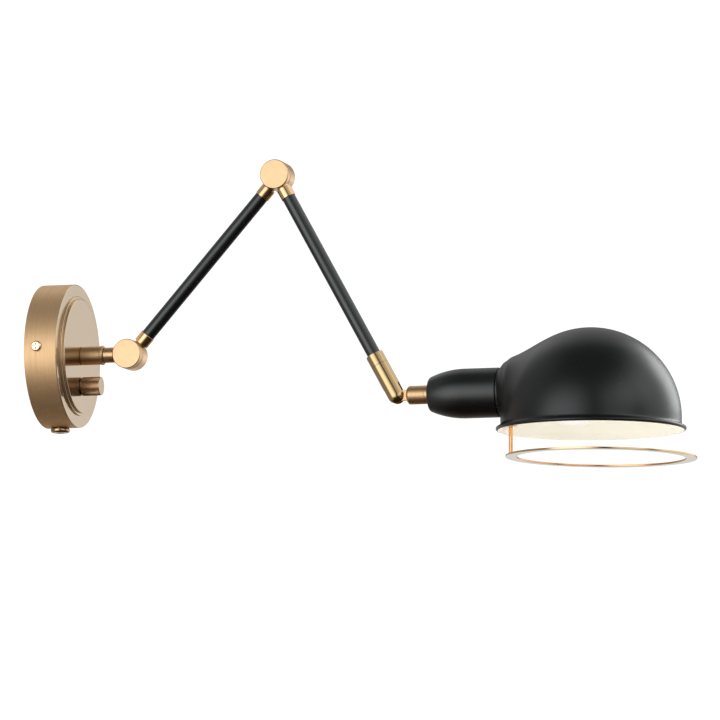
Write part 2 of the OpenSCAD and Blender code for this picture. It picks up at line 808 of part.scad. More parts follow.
module elbow_front() {
    color(brass) along_arm_2() difference() {
        union() {
            knuckle_front_half();
            x_bar(arm_spigot_r, root_r, spigot_end);
        }
        x_bar(lead_r + hole_clearance, root_r + wire_stop, spigot_end + past);
    }
}

module elbow_bush() { color(steel) translate(elbow) pivot_bush(); }
module elbow_washers() { color(nylon) translate(elbow) pivot_washers(); }
module elbow_nut() { color(steel) translate(elbow) pivot_nut(); }
module elbow_ferrule() {
    color(brass) along_arm_2() ferrule(ferrule_r, ferrule_start, ferrule_length);
}

tube_2_end = arm_2_length - wrist_joint_start + tube_seat - seat_gap;

module arm_2_tube() {
    color(black) along_arm_2() x_tube(tube_r, tube_r - tube_wall, tube_start, tube_2_end);
}

module arm_2_lead() {
    color(black) along_arm_2() x_bar(lead_r, root_r + 2 * wire_stop, arm_2_length - slot_depth - wire_stop);
}

module wrist_ferrule() {
    color(brass) along_arm_2_back() ferrule(clevis_r, clevis_length + seat_gap, wrist_ferrule_length);
}

wrist_head_r = wrist_pin_r + 1.4;
wrist_head_thick = 1.3;
wrist_head_y = slot_width / 2 + 1.6;
wrist_recess = 0.8;
front_cheek_blind = 1.6;

module wrist_clevis() {
    color(brass) along_arm_2_back() difference() {
        union() {
            sphere(r = clevis_r);
            x_bar(clevis_r, 0, clevis_length);
            x_bar(arm_spigot_r, clevis_length - lap, wrist_joint_start + spigot_grip);
        }
        translate([-far, -slot_width / 2, -far / 2]) cube([far + slot_depth, slot_width, far]);
        y_bar(wrist_pin_r + fixed_fit, -clevis_r + front_cheek_blind, far);
        y_bar(wrist_head_r + fixed_fit, wrist_head_y, far);
        x_bar(lead_r + hole_clearance, slot_depth - past, far);
    }
}

module wrist_screw() {
    color(steel) at_wrist() difference() {
        union() {
            y_bar(wrist_pin_r, -clevis_r + front_cheek_blind + seat_gap, wrist_head_y + lap);
            y_bar(wrist_head_r, wrist_head_y + seat_gap, wrist_head_y + wrist_head_thick);
        }
        translate([-wrist_head_r - past, wrist_head_y + wrist_head_thick - wrist_recess, -wrist_recess / 2])
            cube([2 * wrist_head_r + 2 * past, wrist_recess + past, wrist_recess]);
    }
}

module wrist_washers() {
    color(nylon) at_wrist() for (side = [-1, 1])
        translate([0, side * (tongue_thick / 2 + face_gap + tongue_washer_thick / 2), 0])
            y_tube(tongue_height / 2 - moving_gap, wrist_pin_r + fixed_fit,
                -tongue_washer_thick / 2, tongue_washer_thick / 2);
}

module head_neck() {
    color(brass) at_wrist() difference() {
        union() {
            y_bar(tongue_height / 2, -tongue_thick / 2, tongue_thick / 2);
            translate([0, -tongue_thick / 2, -tongue_height / 2])
                cube([head_neck_start + lap, tongue_thick, tongue_height]);
            x_cone(head_neck_r - head_neck_chamfer, head_neck_r,
                head_neck_start, head_neck_start + head_neck_chamfer);
            x_bar(head_neck_r, head_neck_start + head_neck_chamfer, head_neck_end);
        }
        y_bar(wrist_pin_r + running_fit, -far / 2, far / 2);
        x_bar(wire_bore_r, head_wire_start, far);
        x_bar(nipple_r + fixed_fit, nipple_start, far);
    }
}

module socket_nipple() {
    color(steel) at_wrist() x_tube(nipple_r, wire_bore_r, nipple_start + face_gap, nipple_end);
}

module nipple_nut() {
    start = cover_start + cover_wall + face_gap;
    color(steel) at_wrist() x_nut(nipple_nut_flats, nipple_r + fixed_fit, start, start + nipple_nut_thick);
}

module head_lead() {
    color(black) at_wrist() x_bar(lead_r, head_wire_start + moving_gap, nipple_end - past);
}

// Half outline of the cover as radius and distance, with every arc drawn in by an inset
arc_steps = 14;
corner_steps = 6;
taper_reach = (cover_taper - cover_edge_r) / (1 - cover_edge_r / cover_arc_r);
taper_angle = asin(taper_reach / cover_arc_r);
corner_centre_r = cover_r - cover_arc_r + (cover_arc_r - cover_edge_r) * cos(taper_angle);
function cover_corner(inset, t) = [
    corner_centre_r + (cover_edge_r - inset) * sin(t),
    cover_edge_r + (cover_edge_r - inset) * cos(t)
];
function cover_arc(inset, t) = [
    cover_r - cover_arc_r + (cover_arc_r - inset) * cos(t),
    cover_taper - (cover_arc_r - inset) * sin(t)
];
function cover_outline(inset, end) = concat(
    [[0, inset]],
    [for (i = [0 : corner_steps]) cover_corner(inset, 180 - i * (90 - taper_angle) / corner_steps)],
    [for (i = [1 : arc_steps]) cover_arc(inset, taper_angle * (1 - i / arc_steps))],
    [[cover_r - inset, end], [0, end]]
);

module cover_solid(inset, end) {
    translate([cover_start, 0, 0]) rotate([0, 90, 0]) rotate_extrude() polygon(cover_outline(inset, end));
}

module socket_cover() {
    color(black) at_wrist() difference() {
        cover_solid(0, cover_length);
        cover_solid(cover_wall, cover_length + past);
        x_bar(nipple_r + fixed_fit, cover_start - past, cover_start + cover_wall + past);
    }
}

module lampholder() {
    color(cream) at_wrist() difference() {
        union() {
            x_bar(holder_body_r, holder_base_start, flange_start + lap);
            x_bar(holder_flange_r, flange_start, flange_start + holder_flange_thick);
            x_bar(holder_thread_r, flange_start, holder_mouth);
        }
        x_bar(nipple_r + fixed_fit, holder_base_start - past, nipple_end + face_gap);
        x_bar(lead_r + hole_clearance, holder_base_start, holder_base_start + holder_base_length + past);
        x_bar(shell_r + shell_wall + fixed_fit, holder_base_start + holder_base_length, far);
    }
}

shell_start = holder_base_start + holder_base_length + face_gap;
shell_floor_hole_r = 5;
shell_inset = 3;

module screw_shell() {
    color(brass) at_wrist() difference() {
        x_bar(shell_r + shell_wall, shell_start, holder_mouth - shell_inset);
        x_bar(shell_r, shell_start + shell_wall, far);
        x_bar(shell_floor_hole_r, 0, far);
    }
}

// Spring strip that stands on a small ring and bends over to the lamp's tip
module centre_contact() {
    ring_r_out = shell_floor_hole_r - 0.6;
    sheet = 0.6;
    strip_width = 3;
    strip_reach = cap_start - seat_gap - sheet - shell_start;
    color(brass) at_wrist() {
        x_tube(ring_r_out, lead_r + hole_clearance, shell_start, shell_start + sheet);
        translate([shell_start, -ring_r_out, -strip_width / 2]) cube([strip_reach, sheet, strip_width]);
        translate([shell_start + strip_reach, -ring_r_out, -strip_width / 2])
            cube([sheet, 2 * ring_r_out, strip_width]);
    }
}

// Outer or inner solid of the shade, shrunk by an inset
module shade_solid(inset) {
    translate([dome_x, 0, -dome_drop]) sphere(r = shade_r - inset, $fn = 128);
    translate([dome_x, 0, -rim_drop - inset])
        cylinder(r = shade_r - inset, h = rim_drop - dome_drop + inset);
    x_bar(shade_neck_r - inset, shade_start + shade_shoulder_r, dome_x);
    x_bar(shade_neck_r - shade_shoulder_r, shade_start + inset, dome_x);
    x_round(shade_neck_r - shade_shoulder_r, shade_shoulder_r - inset, shade_start + shade_shoulder_r);
}

module shade() {
    rim_r = shade_r + rim_flare - rim_bead_r;
    color(black) at_wrist() {
        difference() {
            shade_solid(0);
            shade_solid(shade_wall);
            translate([0, -far / 2, -rim_drop - far]) cube([2 * far, far, far]);
            x_bar(holder_thread_r + fixed_fit, shade_start - past, shade_inner + past);
        }
        translate([dome_x, 0, -rim_drop]) difference() {
            union() {
                rotate_extrude() translate([rim_r, rim_bead_r]) circle(r = rim_bead_r);
                cylinder(r = rim_r, h = 2 * rim_bead_r);
            }
            translate([0, 0, -past]) cylinder(r = shade_r - shade_wall / 2, h = 2 * rim_bead_r + 2 * past);
        }
    }
}

ring_nut_r = holder_thread_r + 4;
bracket_plate_r = ring_nut_r + 1.2;

module shade_ring_nut() {
    color(dark_brass) at_wrist()
        x_tube(ring_nut_r, holder_thread_r + fixed_fit, ring_nut_start, ring_nut_start + ring_nut_width);
}

bracket_tab_width = 11;
foot_length = post_offset + 4;
post_thread_r = 1.5;

// The tab stands off by a joggle, clear of the shade's round inside
module ring_bracket() {
    start = shade_inner + face_gap;
    joggle = 0.5;
    tab_x = start + joggle;
    color(dark_brass) at_wrist() difference() {
        union() {
            x_bar(bracket_plate_r, start, start + bracket_sheet);
            translate([tab_x, -bracket_tab_width / 2, foot_z])
                cube([bracket_sheet, bracket_tab_width, -foot_z - ring_nut_r - seat_gap]);
            translate([tab_x, -bracket_tab_width / 2, foot_z])
                cube([shade_start + foot_length - tab_x, bracket_tab_width, bracket_sheet]);
        }
        x_bar(holder_thread_r + fixed_fit, start - past, start + bracket_sheet + past);
        translate([post_x, 0, foot_z - past])
            cylinder(r = post_thread_r + fixed_fit, h = bracket_sheet + 2 * past);
    }
}

post_rivet_r = 1.2;
post_nut_flats = 5.5;
post_nut_thick = 2.4;

// Round post with a thin threaded end through the bracket's foot and a riveted end in the ring
module ring_post() {
    bottom_z = ring_z + ring_thick / 2 + seat_gap;
    thread_length = bracket_sheet + post_nut_thick + 2 * lap;
    color(brass) at_wrist() translate([post_x, 0, 0]) {
        translate([0, 0, bottom_z]) cylinder(r = post_r, h = foot_z - face_gap - bottom_z);
        translate([0, 0, foot_z - lap]) cylinder(r = post_thread_r, h = thread_length);
        translate([0, 0, bottom_z - ring_thick]) cylinder(r = post_rivet_r, h = ring_thick + lap);
    }
}

module post_nut() {
    color(steel) at_wrist() translate([post_x, 0, foot_z + bracket_sheet + face_gap]) difference() {
        cylinder(d = post_nut_flats / cos(30), h = post_nut_thick, $fn = 6);
        translate([0, 0, -past]) cylinder(r = post_thread_r + fixed_fit, h = post_nut_thick + 2 * past);
    }
}

module trim_ring() {
    color(brass) at_wrist() translate([post_x, 0, ring_z]) difference() {
        rotate([0, ring_sag, 0]) translate([ring_offset, 0, -ring_thick / 2]) difference() {
            cylinder(r = ring_r, h = ring_thick);
            translate([0, 0, -past]) cylinder(r = ring_r - ring_width, h = ring_thick + 2 * past);
        }
        translate([0, 0, -2 * ring_thick]) cylinder(r = post_rivet_r + fixed_fit, h = 4 * ring_thick);
    }
}

glass_wall = 1;
glass_neck_r = cap_r + 0.2;
glass_neck_length = 6;
glass_start = cap_end + face_gap;

// Globe with a straight flare down to the neck, shrunk by an inset
module bulb_solid(inset) {
    flare_start = glass_start + glass_neck_length;
    flare_end_r = 0.8 * bulb_r - 0.3 - inset;
    mouth_x = glass_start - (inset > 0 ? past : 0);
    translate([globe_x, 0, 0]) sphere(r = bulb_r - inset);
    x_cone(glass_neck_r - inset, flare_end_r, flare_start, globe_x - 0.6 * bulb_r);
    x_bar(glass_neck_r - inset, mouth_x, flare_start + eps);
}

module bulb_glass() {
    color([0.97, 0.97, 0.95]) at_wrist() difference() {
        bulb_solid(0);
        bulb_solid(glass_wall);
    }
}

module bulb_cap() {
    thread_pitch = 3.6;
    thread_round_r = 0.8;
    core_r = cap_r - thread_round_r;
    tip_r = 4.6;
    tip_height = 1.5;
    insulator_end = cap_start + 5;
    collar_width = 4;
    color(steel) at_wrist() {
        x_bar(core_r, insulator_end, cap_end);
        x_bar(cap_r, cap_end - collar_width, cap_end);
        for (i = [0 : 3])
            x_round(core_r - eps, thread_round_r, insulator_end + 2.5 + i * thread_pitch);
        x_cone(tip_r + 0.4, core_r, cap_start + lap, insulator_end + eps);
        x_bar(tip_r, cap_start, cap_start + tip_height);
    }
}

wall_bracket();
ground_screw();
terminal_block();
canopy();
canopy_face();
side_screws();
cord_bush();
cord_bush_nut();
dimmer_case();
dimmer_bush();
dimmer_nut();
dimmer_shaft();
knob();
knob_set_screw();
stem_collar();
collar_nut();
swivel_washers();
stem_neck();
stem_locknut();
stem_lead();
shoulder_bush();
shoulder_washers();
shoulder_nut();
shoulder_back();
shoulder_cap();
arm_1_ferrules();
arm_1_tube();
arm_1_lead();
elbow_back();
elbow_cap();
elbow_front();
elbow_bush();
elbow_washers();
elbow_nut();
elbow_ferrule();
arm_2_tube();
arm_2_lead();
wrist_ferrule();
wrist_clevis();
wrist_screw();
wrist_washers();
head_neck();
socket_nipple();
nipple_nut();
head_lead();
socket_cover();
lampholder();
screw_shell();
centre_contact();
shade();
shade_ring_nut();
ring_bracket();
ring_post();
post_nut();
trim_ring();
bulb_glass();
bulb_cap();
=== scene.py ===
"""Finished surfaces of an articulating wall light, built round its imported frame."""

import json
import math

import bmesh
import bpy
from bpy.props import FloatProperty, FloatVectorProperty, IntProperty, PointerProperty
from mathutils import Matrix, Vector


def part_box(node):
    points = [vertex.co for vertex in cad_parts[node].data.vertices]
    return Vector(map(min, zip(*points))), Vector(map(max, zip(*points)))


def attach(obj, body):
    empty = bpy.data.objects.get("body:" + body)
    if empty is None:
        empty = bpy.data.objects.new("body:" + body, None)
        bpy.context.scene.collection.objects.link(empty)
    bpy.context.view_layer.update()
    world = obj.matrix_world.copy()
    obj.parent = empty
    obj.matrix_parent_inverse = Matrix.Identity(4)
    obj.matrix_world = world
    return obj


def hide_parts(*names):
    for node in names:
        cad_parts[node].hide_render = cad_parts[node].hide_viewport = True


bl_info = {
    "name": "Articulating Wall Light",
    "version": (1, 0, 0),
    "blender": (4, 5, 0),
    "location": "View3D > Sidebar > Wall Light",
    "description": "Builds the finished surfaces of an articulating wall light",
    "category": "Add Mesh",
}

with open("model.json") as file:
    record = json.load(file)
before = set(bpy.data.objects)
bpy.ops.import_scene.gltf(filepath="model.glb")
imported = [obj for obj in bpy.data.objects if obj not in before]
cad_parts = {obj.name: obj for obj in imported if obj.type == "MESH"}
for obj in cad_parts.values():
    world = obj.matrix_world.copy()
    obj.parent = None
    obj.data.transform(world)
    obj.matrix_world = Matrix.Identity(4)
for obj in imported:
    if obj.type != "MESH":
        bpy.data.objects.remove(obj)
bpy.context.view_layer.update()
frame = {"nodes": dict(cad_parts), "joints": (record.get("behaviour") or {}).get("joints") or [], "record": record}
MM = 0.001
X, Y, Z = (Vector(row) for row in Matrix.Identity(3))
JOINTS = {joint["name"]: joint for joint in frame["joints"]}
BODIES = frame["record"]["behaviour"]["bodies"]
BODY_OF = {name: body for body, nodes in BODIES.items() for name in nodes}


# Settings that a user would change


def length(name, description, millimetres):
    return FloatProperty(
        name=name, description=description, default=millimetres * MM, unit="LENGTH"
    )


def rotation(name, description, degrees):
    return FloatProperty(
        name=name, description=description, default=math.radians(degrees), unit="ROTATION"
    )


def colour(name, description, red, green, blue):
    tone = (red, green, blue)
    return FloatVectorProperty(
        name=name, description=description, default=tone, size=3, subtype="COLOR"
    )


class WallLightView(bpy.types.PropertyGroup):
    place: FloatVectorProperty(
        name="Camera place",
        description="Where the camera stands",
        default=(1.57675, -4.73654, -0.60117),
        subtype="TRANSLATION",
        unit="LENGTH",
    )
    azimuth: rotation("Azimuth", "Turn of the view round the light", 15.4)
    tilt: rotation("Tilt", "How far the camera looks up", 6.85)
    lens: FloatProperty(
        name="Lens", description="Focal length on a 36 mm frame", default=300, unit="CAMERA"
    )
    floor_drop: length("Floor drop", "Distance of the floor below the wall mount", 800)


class WallLightFinishes(bpy.types.PropertyGroup):
    brass: colour("Brass", "Lacquered satin brass", 0.86, 0.60, 0.345)
    brass_shade: colour("Brass in its lines", "Brass between its lines", 0.66, 0.42, 0.215)
    aged: colour("Aged brass", "Darkened brass of the knob and the clamps", 0.80, 0.52, 0.31)
    aged_shade: colour("Aged brass in its lines", "Darkened brass in its lines", 0.54, 0.33, 0.18)
    bright: colour("Bright brass", "Bright brass of the trim ring", 0.93, 0.62, 0.30)
    disc: colour("Knuckle brass", "Brushed brass of the knuckles' faces", 0.70, 0.48, 0.275)
    polished: colour("Yellow brass", "Polished brass of the wrist", 0.58, 0.42, 0.225)
    pale: colour("Pale brass", "Brass of the canopy's face and the knob's end", 0.64, 0.51, 0.362)
    # Painted reflection: a pale tone on the ring's downward faces, standing in for the bright reflection of the
    # floor below.
    underside: colour("Ring underside", "Pale lacquer under the trim ring", 0.93, 0.86, 0.74)
    # Painted light: a warm orange on the ring's inner edge and its post, standing in for the glow of the shade's
    # lit inside.
    painted_glow_brass: colour("Warm brass", "The ring's inner edge and its post", 0.95, 0.50, 0.24)
    yellow: colour("Yellow zinc", "Plating of the canopy's side screws", 1.0, 0.87, 0.60)
    black: colour("Satin black", "Coat of arms, cover and shade", 0.0018, 0.0020, 0.0022)
    enamel: colour("Enamel", "Warm white inside the shade", 0.93, 0.91, 0.82)
    opal: colour("Opal glass", "White glass of the lamp", 0.93, 0.93, 0.90)
    steel: colour("Zinc plate", "Plated steel of the bracket and nuts", 0.60, 0.61, 0.63)


class WallLightSizes(bpy.types.PropertyGroup):
    canopy_edge: length("Canopy edge", "Rounding of the canopy's front edge", 0.9)
    step_edge: length("Step edge", "Rounding of the steps on the canopy's face", 0.8)
    sheet: length("Sheet", "Sheet of the canopy and the shade", 1.2)
    barrel_edge: length("Barrel edge", "Rounding of a knuckle's face edge", 0.7)
    barrel_groove: length("Barrel groove", "Width of the groove behind a parting", 0.35)
    ferrule_edge: length("Ferrule edge", "Rounding of a ferrule's edges", 0.3)
    rim_bead: length("Rim bead", "Radius of the rolled bead at the shade's rim", 1.7)
    rim_sweep: length("Rim sweep", "Radius of the curve between the dome and its bead", 3.4)
    neck_blend: length("Neck blend", "Softness of the curve from the shade's neck to its dome", 21)
    knurl_count: IntProperty(
        name="Knurl ridges", description="Ridges round the dimmer's knob", default=64, min=12
    )
    knurl_height: length("Knurl height", "Height of the knob's ridges", 0.14)
    ring_sag: rotation("Ring sag", "How far the trim ring hangs from level", 0.8)


class WallLightSettings(bpy.types.PropertyGroup):
    view: PointerProperty(type=WallLightView)
    finishes: PointerProperty(type=WallLightFinishes)
    sizes: PointerProperty(type=WallLightSizes)


# Places taken from the frame


def along(origin, direction):
    """Frame whose X axis runs along a direction, with its Y axis kept level."""
    x = direction.normalized()
    z = x.cross(Y if abs(x.y) < 0.9 else X).normalized()
    return Matrix.Translation(origin) @ Matrix((x, z.cross(x), z)).transposed().to_4x4()


def vertices_in(node, place):
    """A frame part's points, in a frame of their own."""
    inverse = place.inverted()
    return [inverse @ vertex.co for vertex in frame["nodes"][node].data.vertices]


def off_axis(point):
    """How far a point lies from the X axis."""
    return math.hypot(point.y, point.z)


def reach(node, place, keep=lambda point: True):
    """Start, end and outer radius of a round frame part along the X axis of a frame."""
    points = [point for point in vertices_in(node, place) if keep(point)]
    ends = [point.x for point in points]
    return min(ends), max(ends), max(off_axis(point) for point in points)


def middle(node):
    """Middle of a frame part's box."""
    return Vector((low + high) / 2 for low, high in zip(*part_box(node)))


SHOULDER, ELBOW, WRIST = (Vector(JOINTS[name]["pos_m"]) for name in ("shoulder", "elbow", "wrist"))
DIMMER = Vector(JOINTS["dimmer_turn"]["pos_m"])
BACK_PLANE = Y * middle("arm_1_tube").y
CANOPY_AXIS = along(Vector(), X)
DIMMER_AXIS = along(Vector((0, 0, DIMMER.z)), X)
SHOULDER_AXIS = along(SHOULDER, Y)
ELBOW_AXIS = along(ELBOW, Y)
ARM_1 = along(SHOULDER + BACK_PLANE, ELBOW - SHOULDER)
ARM_1_BACK = along(ELBOW + BACK_PLANE, SHOULDER - ELBOW)
ARM_2 = along(ELBOW, WRIST - ELBOW)
ARM_2_BACK = along(WRIST, ELBOW - WRIST)
HEAD = along(WRIST, X)

# Sizes that several pieces share
FIT = 0.05 * MM  # play between pieces that fit in one another
NEAR = 0.02 * MM  # a point this close to a surface lies on it
FAR = 100 * MM  # beyond the reach of any piece that is cut
SPIGOT, SPIGOT_BORE = 4.4 * MM, 4.45 * MM
THREAD, THREAD_HOLE = 5.0 * MM, 5.05 * MM  # of the cord inlet, the stem and the lampholder
LEAD_BORE = 2.65 * MM
LINK_END = 12.7 * MM  # from a knuckle's axis to the end of its link
PARTING = 1.3 * MM  # between a knuckle's front half and the middle of the arms


# Mesh tools

ARC_STEP = math.radians(14)
SMOOTH_ANGLE = math.radians(38)
STRAIGHT = math.radians(89)  # half the angle of a corner that is hardly one
SIDE_SHARE = 0.49  # most of an outline's side that a fillet may take
MANY_SIDES = 128  # of a turned piece whose edge is seen close up
POLE = 1e-7
WELD = 0.5e-6


def add_object(name, mesh):
    piece = bpy.data.objects.new(name, mesh)
    bpy.context.scene.collection.objects.link(piece)
    return piece


def from_bmesh(name, shape):
    mesh = bpy.data.meshes.new(name)
    shape.to_mesh(mesh)
    shape.free()
    return add_object(name, mesh)


def discard(piece):
    mesh = piece.data
    bpy.data.objects.remove(piece)
    bpy.data.meshes.remove(mesh)


def settle(piece):
    """Replaces a piece's mesh with what its modifiers make of it, doubled points merged."""
    graph = bpy.context.evaluated_depsgraph_get()
    mesh = bpy.data.meshes.new_from_object(piece.evaluated_get(graph))
    piece.modifiers.clear()
    shape = bmesh.new()
    shape.from_mesh(mesh)
    bmesh.ops.remove_doubles(shape, verts=shape.verts, dist=WELD)
    bmesh.ops.dissolve_degenerate(shape, dist=WELD, edges=shape.edges)
    shape.to_mesh(mesh)
    shape.free()
    old = piece.data
    piece.data = mesh
    bpy.data.meshes.remove(old)


def corner_arc(before, corner, after, fillet):
    """Points of the arc that rounds one corner of an outline."""
    back, on = before - corner, after - corner
    half = back.angle(on) / 2
    if fillet <= 0 or half > STRAIGHT:
        return [corner]
    run = min(fillet / math.tan(half), SIDE_SHARE * back.length, SIDE_SHARE * on.length)
    fillet = run * math.tan(half)
    centre = corner + (back.normalized() + on.normalized()).normalized() * fillet / math.sin(half)
    first = corner + back.normalized() * run - centre
    last = corner + on.normalized() * run - centre
    turn = first.angle(last)
    steps = max(2, math.ceil(turn / ARC_STEP))
    shares = [step / steps for step in range(steps + 1)]
    return [
        centre + (first * math.sin((1 - s) * turn) + last * math.sin(s * turn)) / math.sin(turn)
        for s in shares
    ]


def rounded(outline):
    """Points of an outline of (along, radius, fillet) corners, its fillets drawn as arcs."""
    corners = [Vector(corner[:2]) for corner in outline]
    fillets = [corner[2] if len(corner) > 2 else 0 for corner in outline]
    count = len(corners)
    is_open = corners[0].y < POLE and corners[-1].y < POLE
    points = []
    for i, corner in enumerate(corners):
        if is_open and i in (0, count - 1):
            points.append(corner)
        else:
            points += corner_arc(corners[i - 1], corner, corners[(i + 1) % count], fillets[i])
    return points


def turned_shape(points, sides):
    """Closed surface turned about the X axis from points of (along, radius)."""
    shape = bmesh.new()
    angles = [math.tau * i / sides for i in range(sides)]
    rings = []
    for x, radius in points:
        turns = angles if radius > POLE else [0]
        rings.append([
            shape.verts.new((x, radius * math.cos(a), radius * math.sin(a))) for a in turns
        ])
    pairs = list(zip(rings, rings[1:]))
    if len(rings[0]) > 1:
        pairs.append((rings[-1], rings[0]))
    for one, two in pairs:
        bridge(shape, one, two, sides)
    bmesh.ops.recalc_face_normals(shape, faces=shape.faces)
    return shape


def arc_turns(first, last, steps):
    """Even angles from one to another, given in degrees."""
    return [math.radians(first + (last - first) * i / steps) for i in range(steps + 1)]


def bridge(shape, one, two, sides, material_index=0):
    """Faces between two rings of points, either of which may be a single point."""
    for i in range(sides):
        j = (i + 1) % sides
        corners = [one[i % len(one)], one[j % len(one)], two[j % len(two)], two[i % len(two)]]
        corners = list(dict.fromkeys(corners))
        if len(corners) > 2:
            shape.faces.new(corners).material_index = material_index


def turned(name, place, outline, sides=96):
    """Piece turned about the X axis of a frame from (along, radius, fillet) corners."""
    shape = turned_shape(rounded(outline), sides)
    shape.transform(place)
    return from_bmesh(name, shape)


def sleeve(name, place, start, end, outer, bore, edge, sides=96):
    """Tube with rounded edges."""
    outline = [(start, bore), (start, outer, edge), (end, outer, edge), (end, bore)]
    return turned(name, place, outline, sides)


def block(name, low, high, place):
    """Box between two corners of a frame, used to cut with."""
    shape = bmesh.new()
    bmesh.ops.create_cube(shape, size=1)
    size = [b - a for a, b in zip(low, high)]
    centre = [(a + b) / 2 for a, b in zip(low, high)]
    shape.transform(place @ Matrix.Translation(centre) @ Matrix.Diagonal((*size, 1)))
    return from_bmesh(name, shape)


def prism(name, place, points, low, high):
    """Straight bar along the X axis of a frame, from the (y, z) points of its section."""
    shape = bmesh.new()
    near, far = ([shape.verts.new((x, *point)) for point in points] for x in (low, high))
    shape.faces.new(near)
    shape.faces.new(far)
    for i in range(len(points)):
        shape.faces.new((near[i - 1], near[i], far[i], far[i - 1]))
    bmesh.ops.recalc_face_normals(shape, faces=shape.faces)
    shape.transform(place)
    return from_bmesh(name, shape)


def combine(piece, tool, operation):
    """Cuts a tool from a piece or joins it on, and removes the tool."""
    modifier = piece.modifiers.new("Combine", "BOOLEAN")
    modifier.operation = operation
    modifier.solver = "EXACT"
    modifier.object = tool
    settle(piece)
    discard(tool)


def drill(piece, place, start, end, radius, sides=48):
    tool = turned("drill", place, [(start, 0), (start, radius), (end, radius), (end, 0)], sides)
    combine(piece, tool, "DIFFERENCE")


def ease(piece, width, segments=2, angle=40):
    """Rounds a piece's sharp edges."""
    bevel = piece.modifiers.new("Ease", "BEVEL")
    bevel.width = width
    bevel.segments = segments
    bevel.limit_method = "ANGLE"
    bevel.angle_limit = math.radians(angle)
    bevel.miter_outer = "MITER_ARC"
    settle(piece)


def shade_smooth(piece):
    piece.data.shade_smooth()
    piece.data.set_sharp_from_angle(angle=SMOOTH_ANGLE)
    weighted = piece.modifiers.new("Weighted normals", "WEIGHTED_NORMAL")
    weighted.keep_sharp = True


def mark_faces(piece, chosen):
    """Gives the faces that a test picks the second of a piece's materials."""
    for polygon in piece.data.polygons:
        polygon.material_index = int(chosen(polygon))


def coat(piece, materials):
    """Gives a piece its materials and keeps which of its faces has which."""
    kept = [polygon.material_index for polygon in piece.data.polygons]
    piece.data.materials.clear()
    for material in materials:
        piece.data.materials.append(material)
    for polygon, index in zip(piece.data.polygons, kept):
        polygon.material_index = index


def ride_with(piece, node, *materials):
    """Finishes a piece that rides with a frame part's body."""
    coat(piece, materials)
    shade_smooth(piece)
    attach(piece, BODY_OF[node])


def stand_for(piece, node, *materials):
    """Finishes a piece and shows it in the place of its frame part."""
    ride_with(piece, node, *materials)
    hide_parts(node)


def eased_copy(node, edge):
    """Copy of a frame part, welded, with its flat faces joined and its edges rounded."""
    weld, flat = 2e-6, math.radians(0.6)
    shape = bmesh.new()
    shape.from_mesh(frame["nodes"][node].data)
    bmesh.ops.remove_doubles(shape, verts=shape.verts, dist=weld)
    bmesh.ops.dissolve_limit(shape, angle_limit=flat, verts=shape.verts, edges=shape.edges)
    piece = from_bmesh(node + "_finished", shape)
    if edge:
        ease(piece, edge)
    return piece


def carry(node, material):
    """Keeps a frame part that lies inside, with a finish of its own."""
    part = frame["nodes"][node]
    if not part.material_slots:
        part.data.materials.append(material)
    for slot in part.material_slots:
        slot.material = material


# Node tools


def node(tree, kind, inputs=None, **settings):
    """New node with its settings, its values and its links made."""
    made = tree.nodes.new(kind)
    for key, value in settings.items():
        setattr(made, key, value)
    for key, value in (inputs or {}).items():
        if isinstance(value, bpy.types.NodeSocket):
            tree.links.new(value, made.inputs[key])
        else:
            made.inputs[key].default_value = value
    return made


def calc(tree, operation, *values, clamp=False):
    made = node(
        tree, "ShaderNodeMath", dict(enumerate(values)), operation=operation, use_clamp=clamp
    )
    return made.outputs[0]


def times(tree, one, two, clamp=False):
    return calc(tree, "MULTIPLY", one, two, clamp=clamp)


def plus(tree, one, two):
    return calc(tree, "ADD", one, two)


def noise(tree, vector, scale, detail, **more):
    inputs = {"Vector": vector, "Scale": scale, "Detail": detail, **more}
    return node(tree, "ShaderNodeTexNoise", inputs).outputs[0]


def spread(tree, value, low, high, to_low=0.0, to_high=1.0):
    """Stretches part of a value's range over another range."""
    limits = {0: value, 1: low, 2: high, 3: to_low, 4: to_high}
    return node(tree, "ShaderNodeMapRange", limits).outputs[0]


def mix(tree, share, one, two):
    """Colour between two colours, by a share from 0 to 1."""
    pair = {0: share}
    for index, tone in ((6, one), (7, two)):
        pair[index] = tone if isinstance(tone, bpy.types.NodeSocket) else (*tone, 1)
    return node(tree, "ShaderNodeMix", pair, data_type="RGBA").outputs[2]


def new_group(name, inputs, outputs, kind="ShaderNodeTree"):
    """New node group with named sockets: the tree, what it is given and what it puts out."""
    tree = bpy.data.node_groups.new(name, kind)
    for label, socket_type, value in inputs:
        socket = tree.interface.new_socket(name=label, in_out="INPUT", socket_type=socket_type)
        if value is not None:
            socket.default_value = value
    for label, socket_type in outputs:
        tree.interface.new_socket(name=label, in_out="OUTPUT", socket_type=socket_type)
    return tree, tree.nodes.new("NodeGroupInput").outputs, tree.nodes.new("NodeGroupOutput").inputs


NUMBER, VECTOR = "NodeSocketFloat", "NodeSocketVector"


def end_grain(tree, result, across, round_y, round_z, roughness):
    """Noise on a stretched vector, put out as a mask of fine lines and as their height."""
    vector = node(tree, "ShaderNodeCombineXYZ", {0: across, 1: round_y, 2: round_z}).outputs[0]
    fine = noise(tree, vector, 1.0, 4.0, Roughness=roughness)
    tree.links.new(spread(tree, fine, 0.34, 0.66), result["Mask"])
    tree.links.new(fine, result["Height"])
    return tree


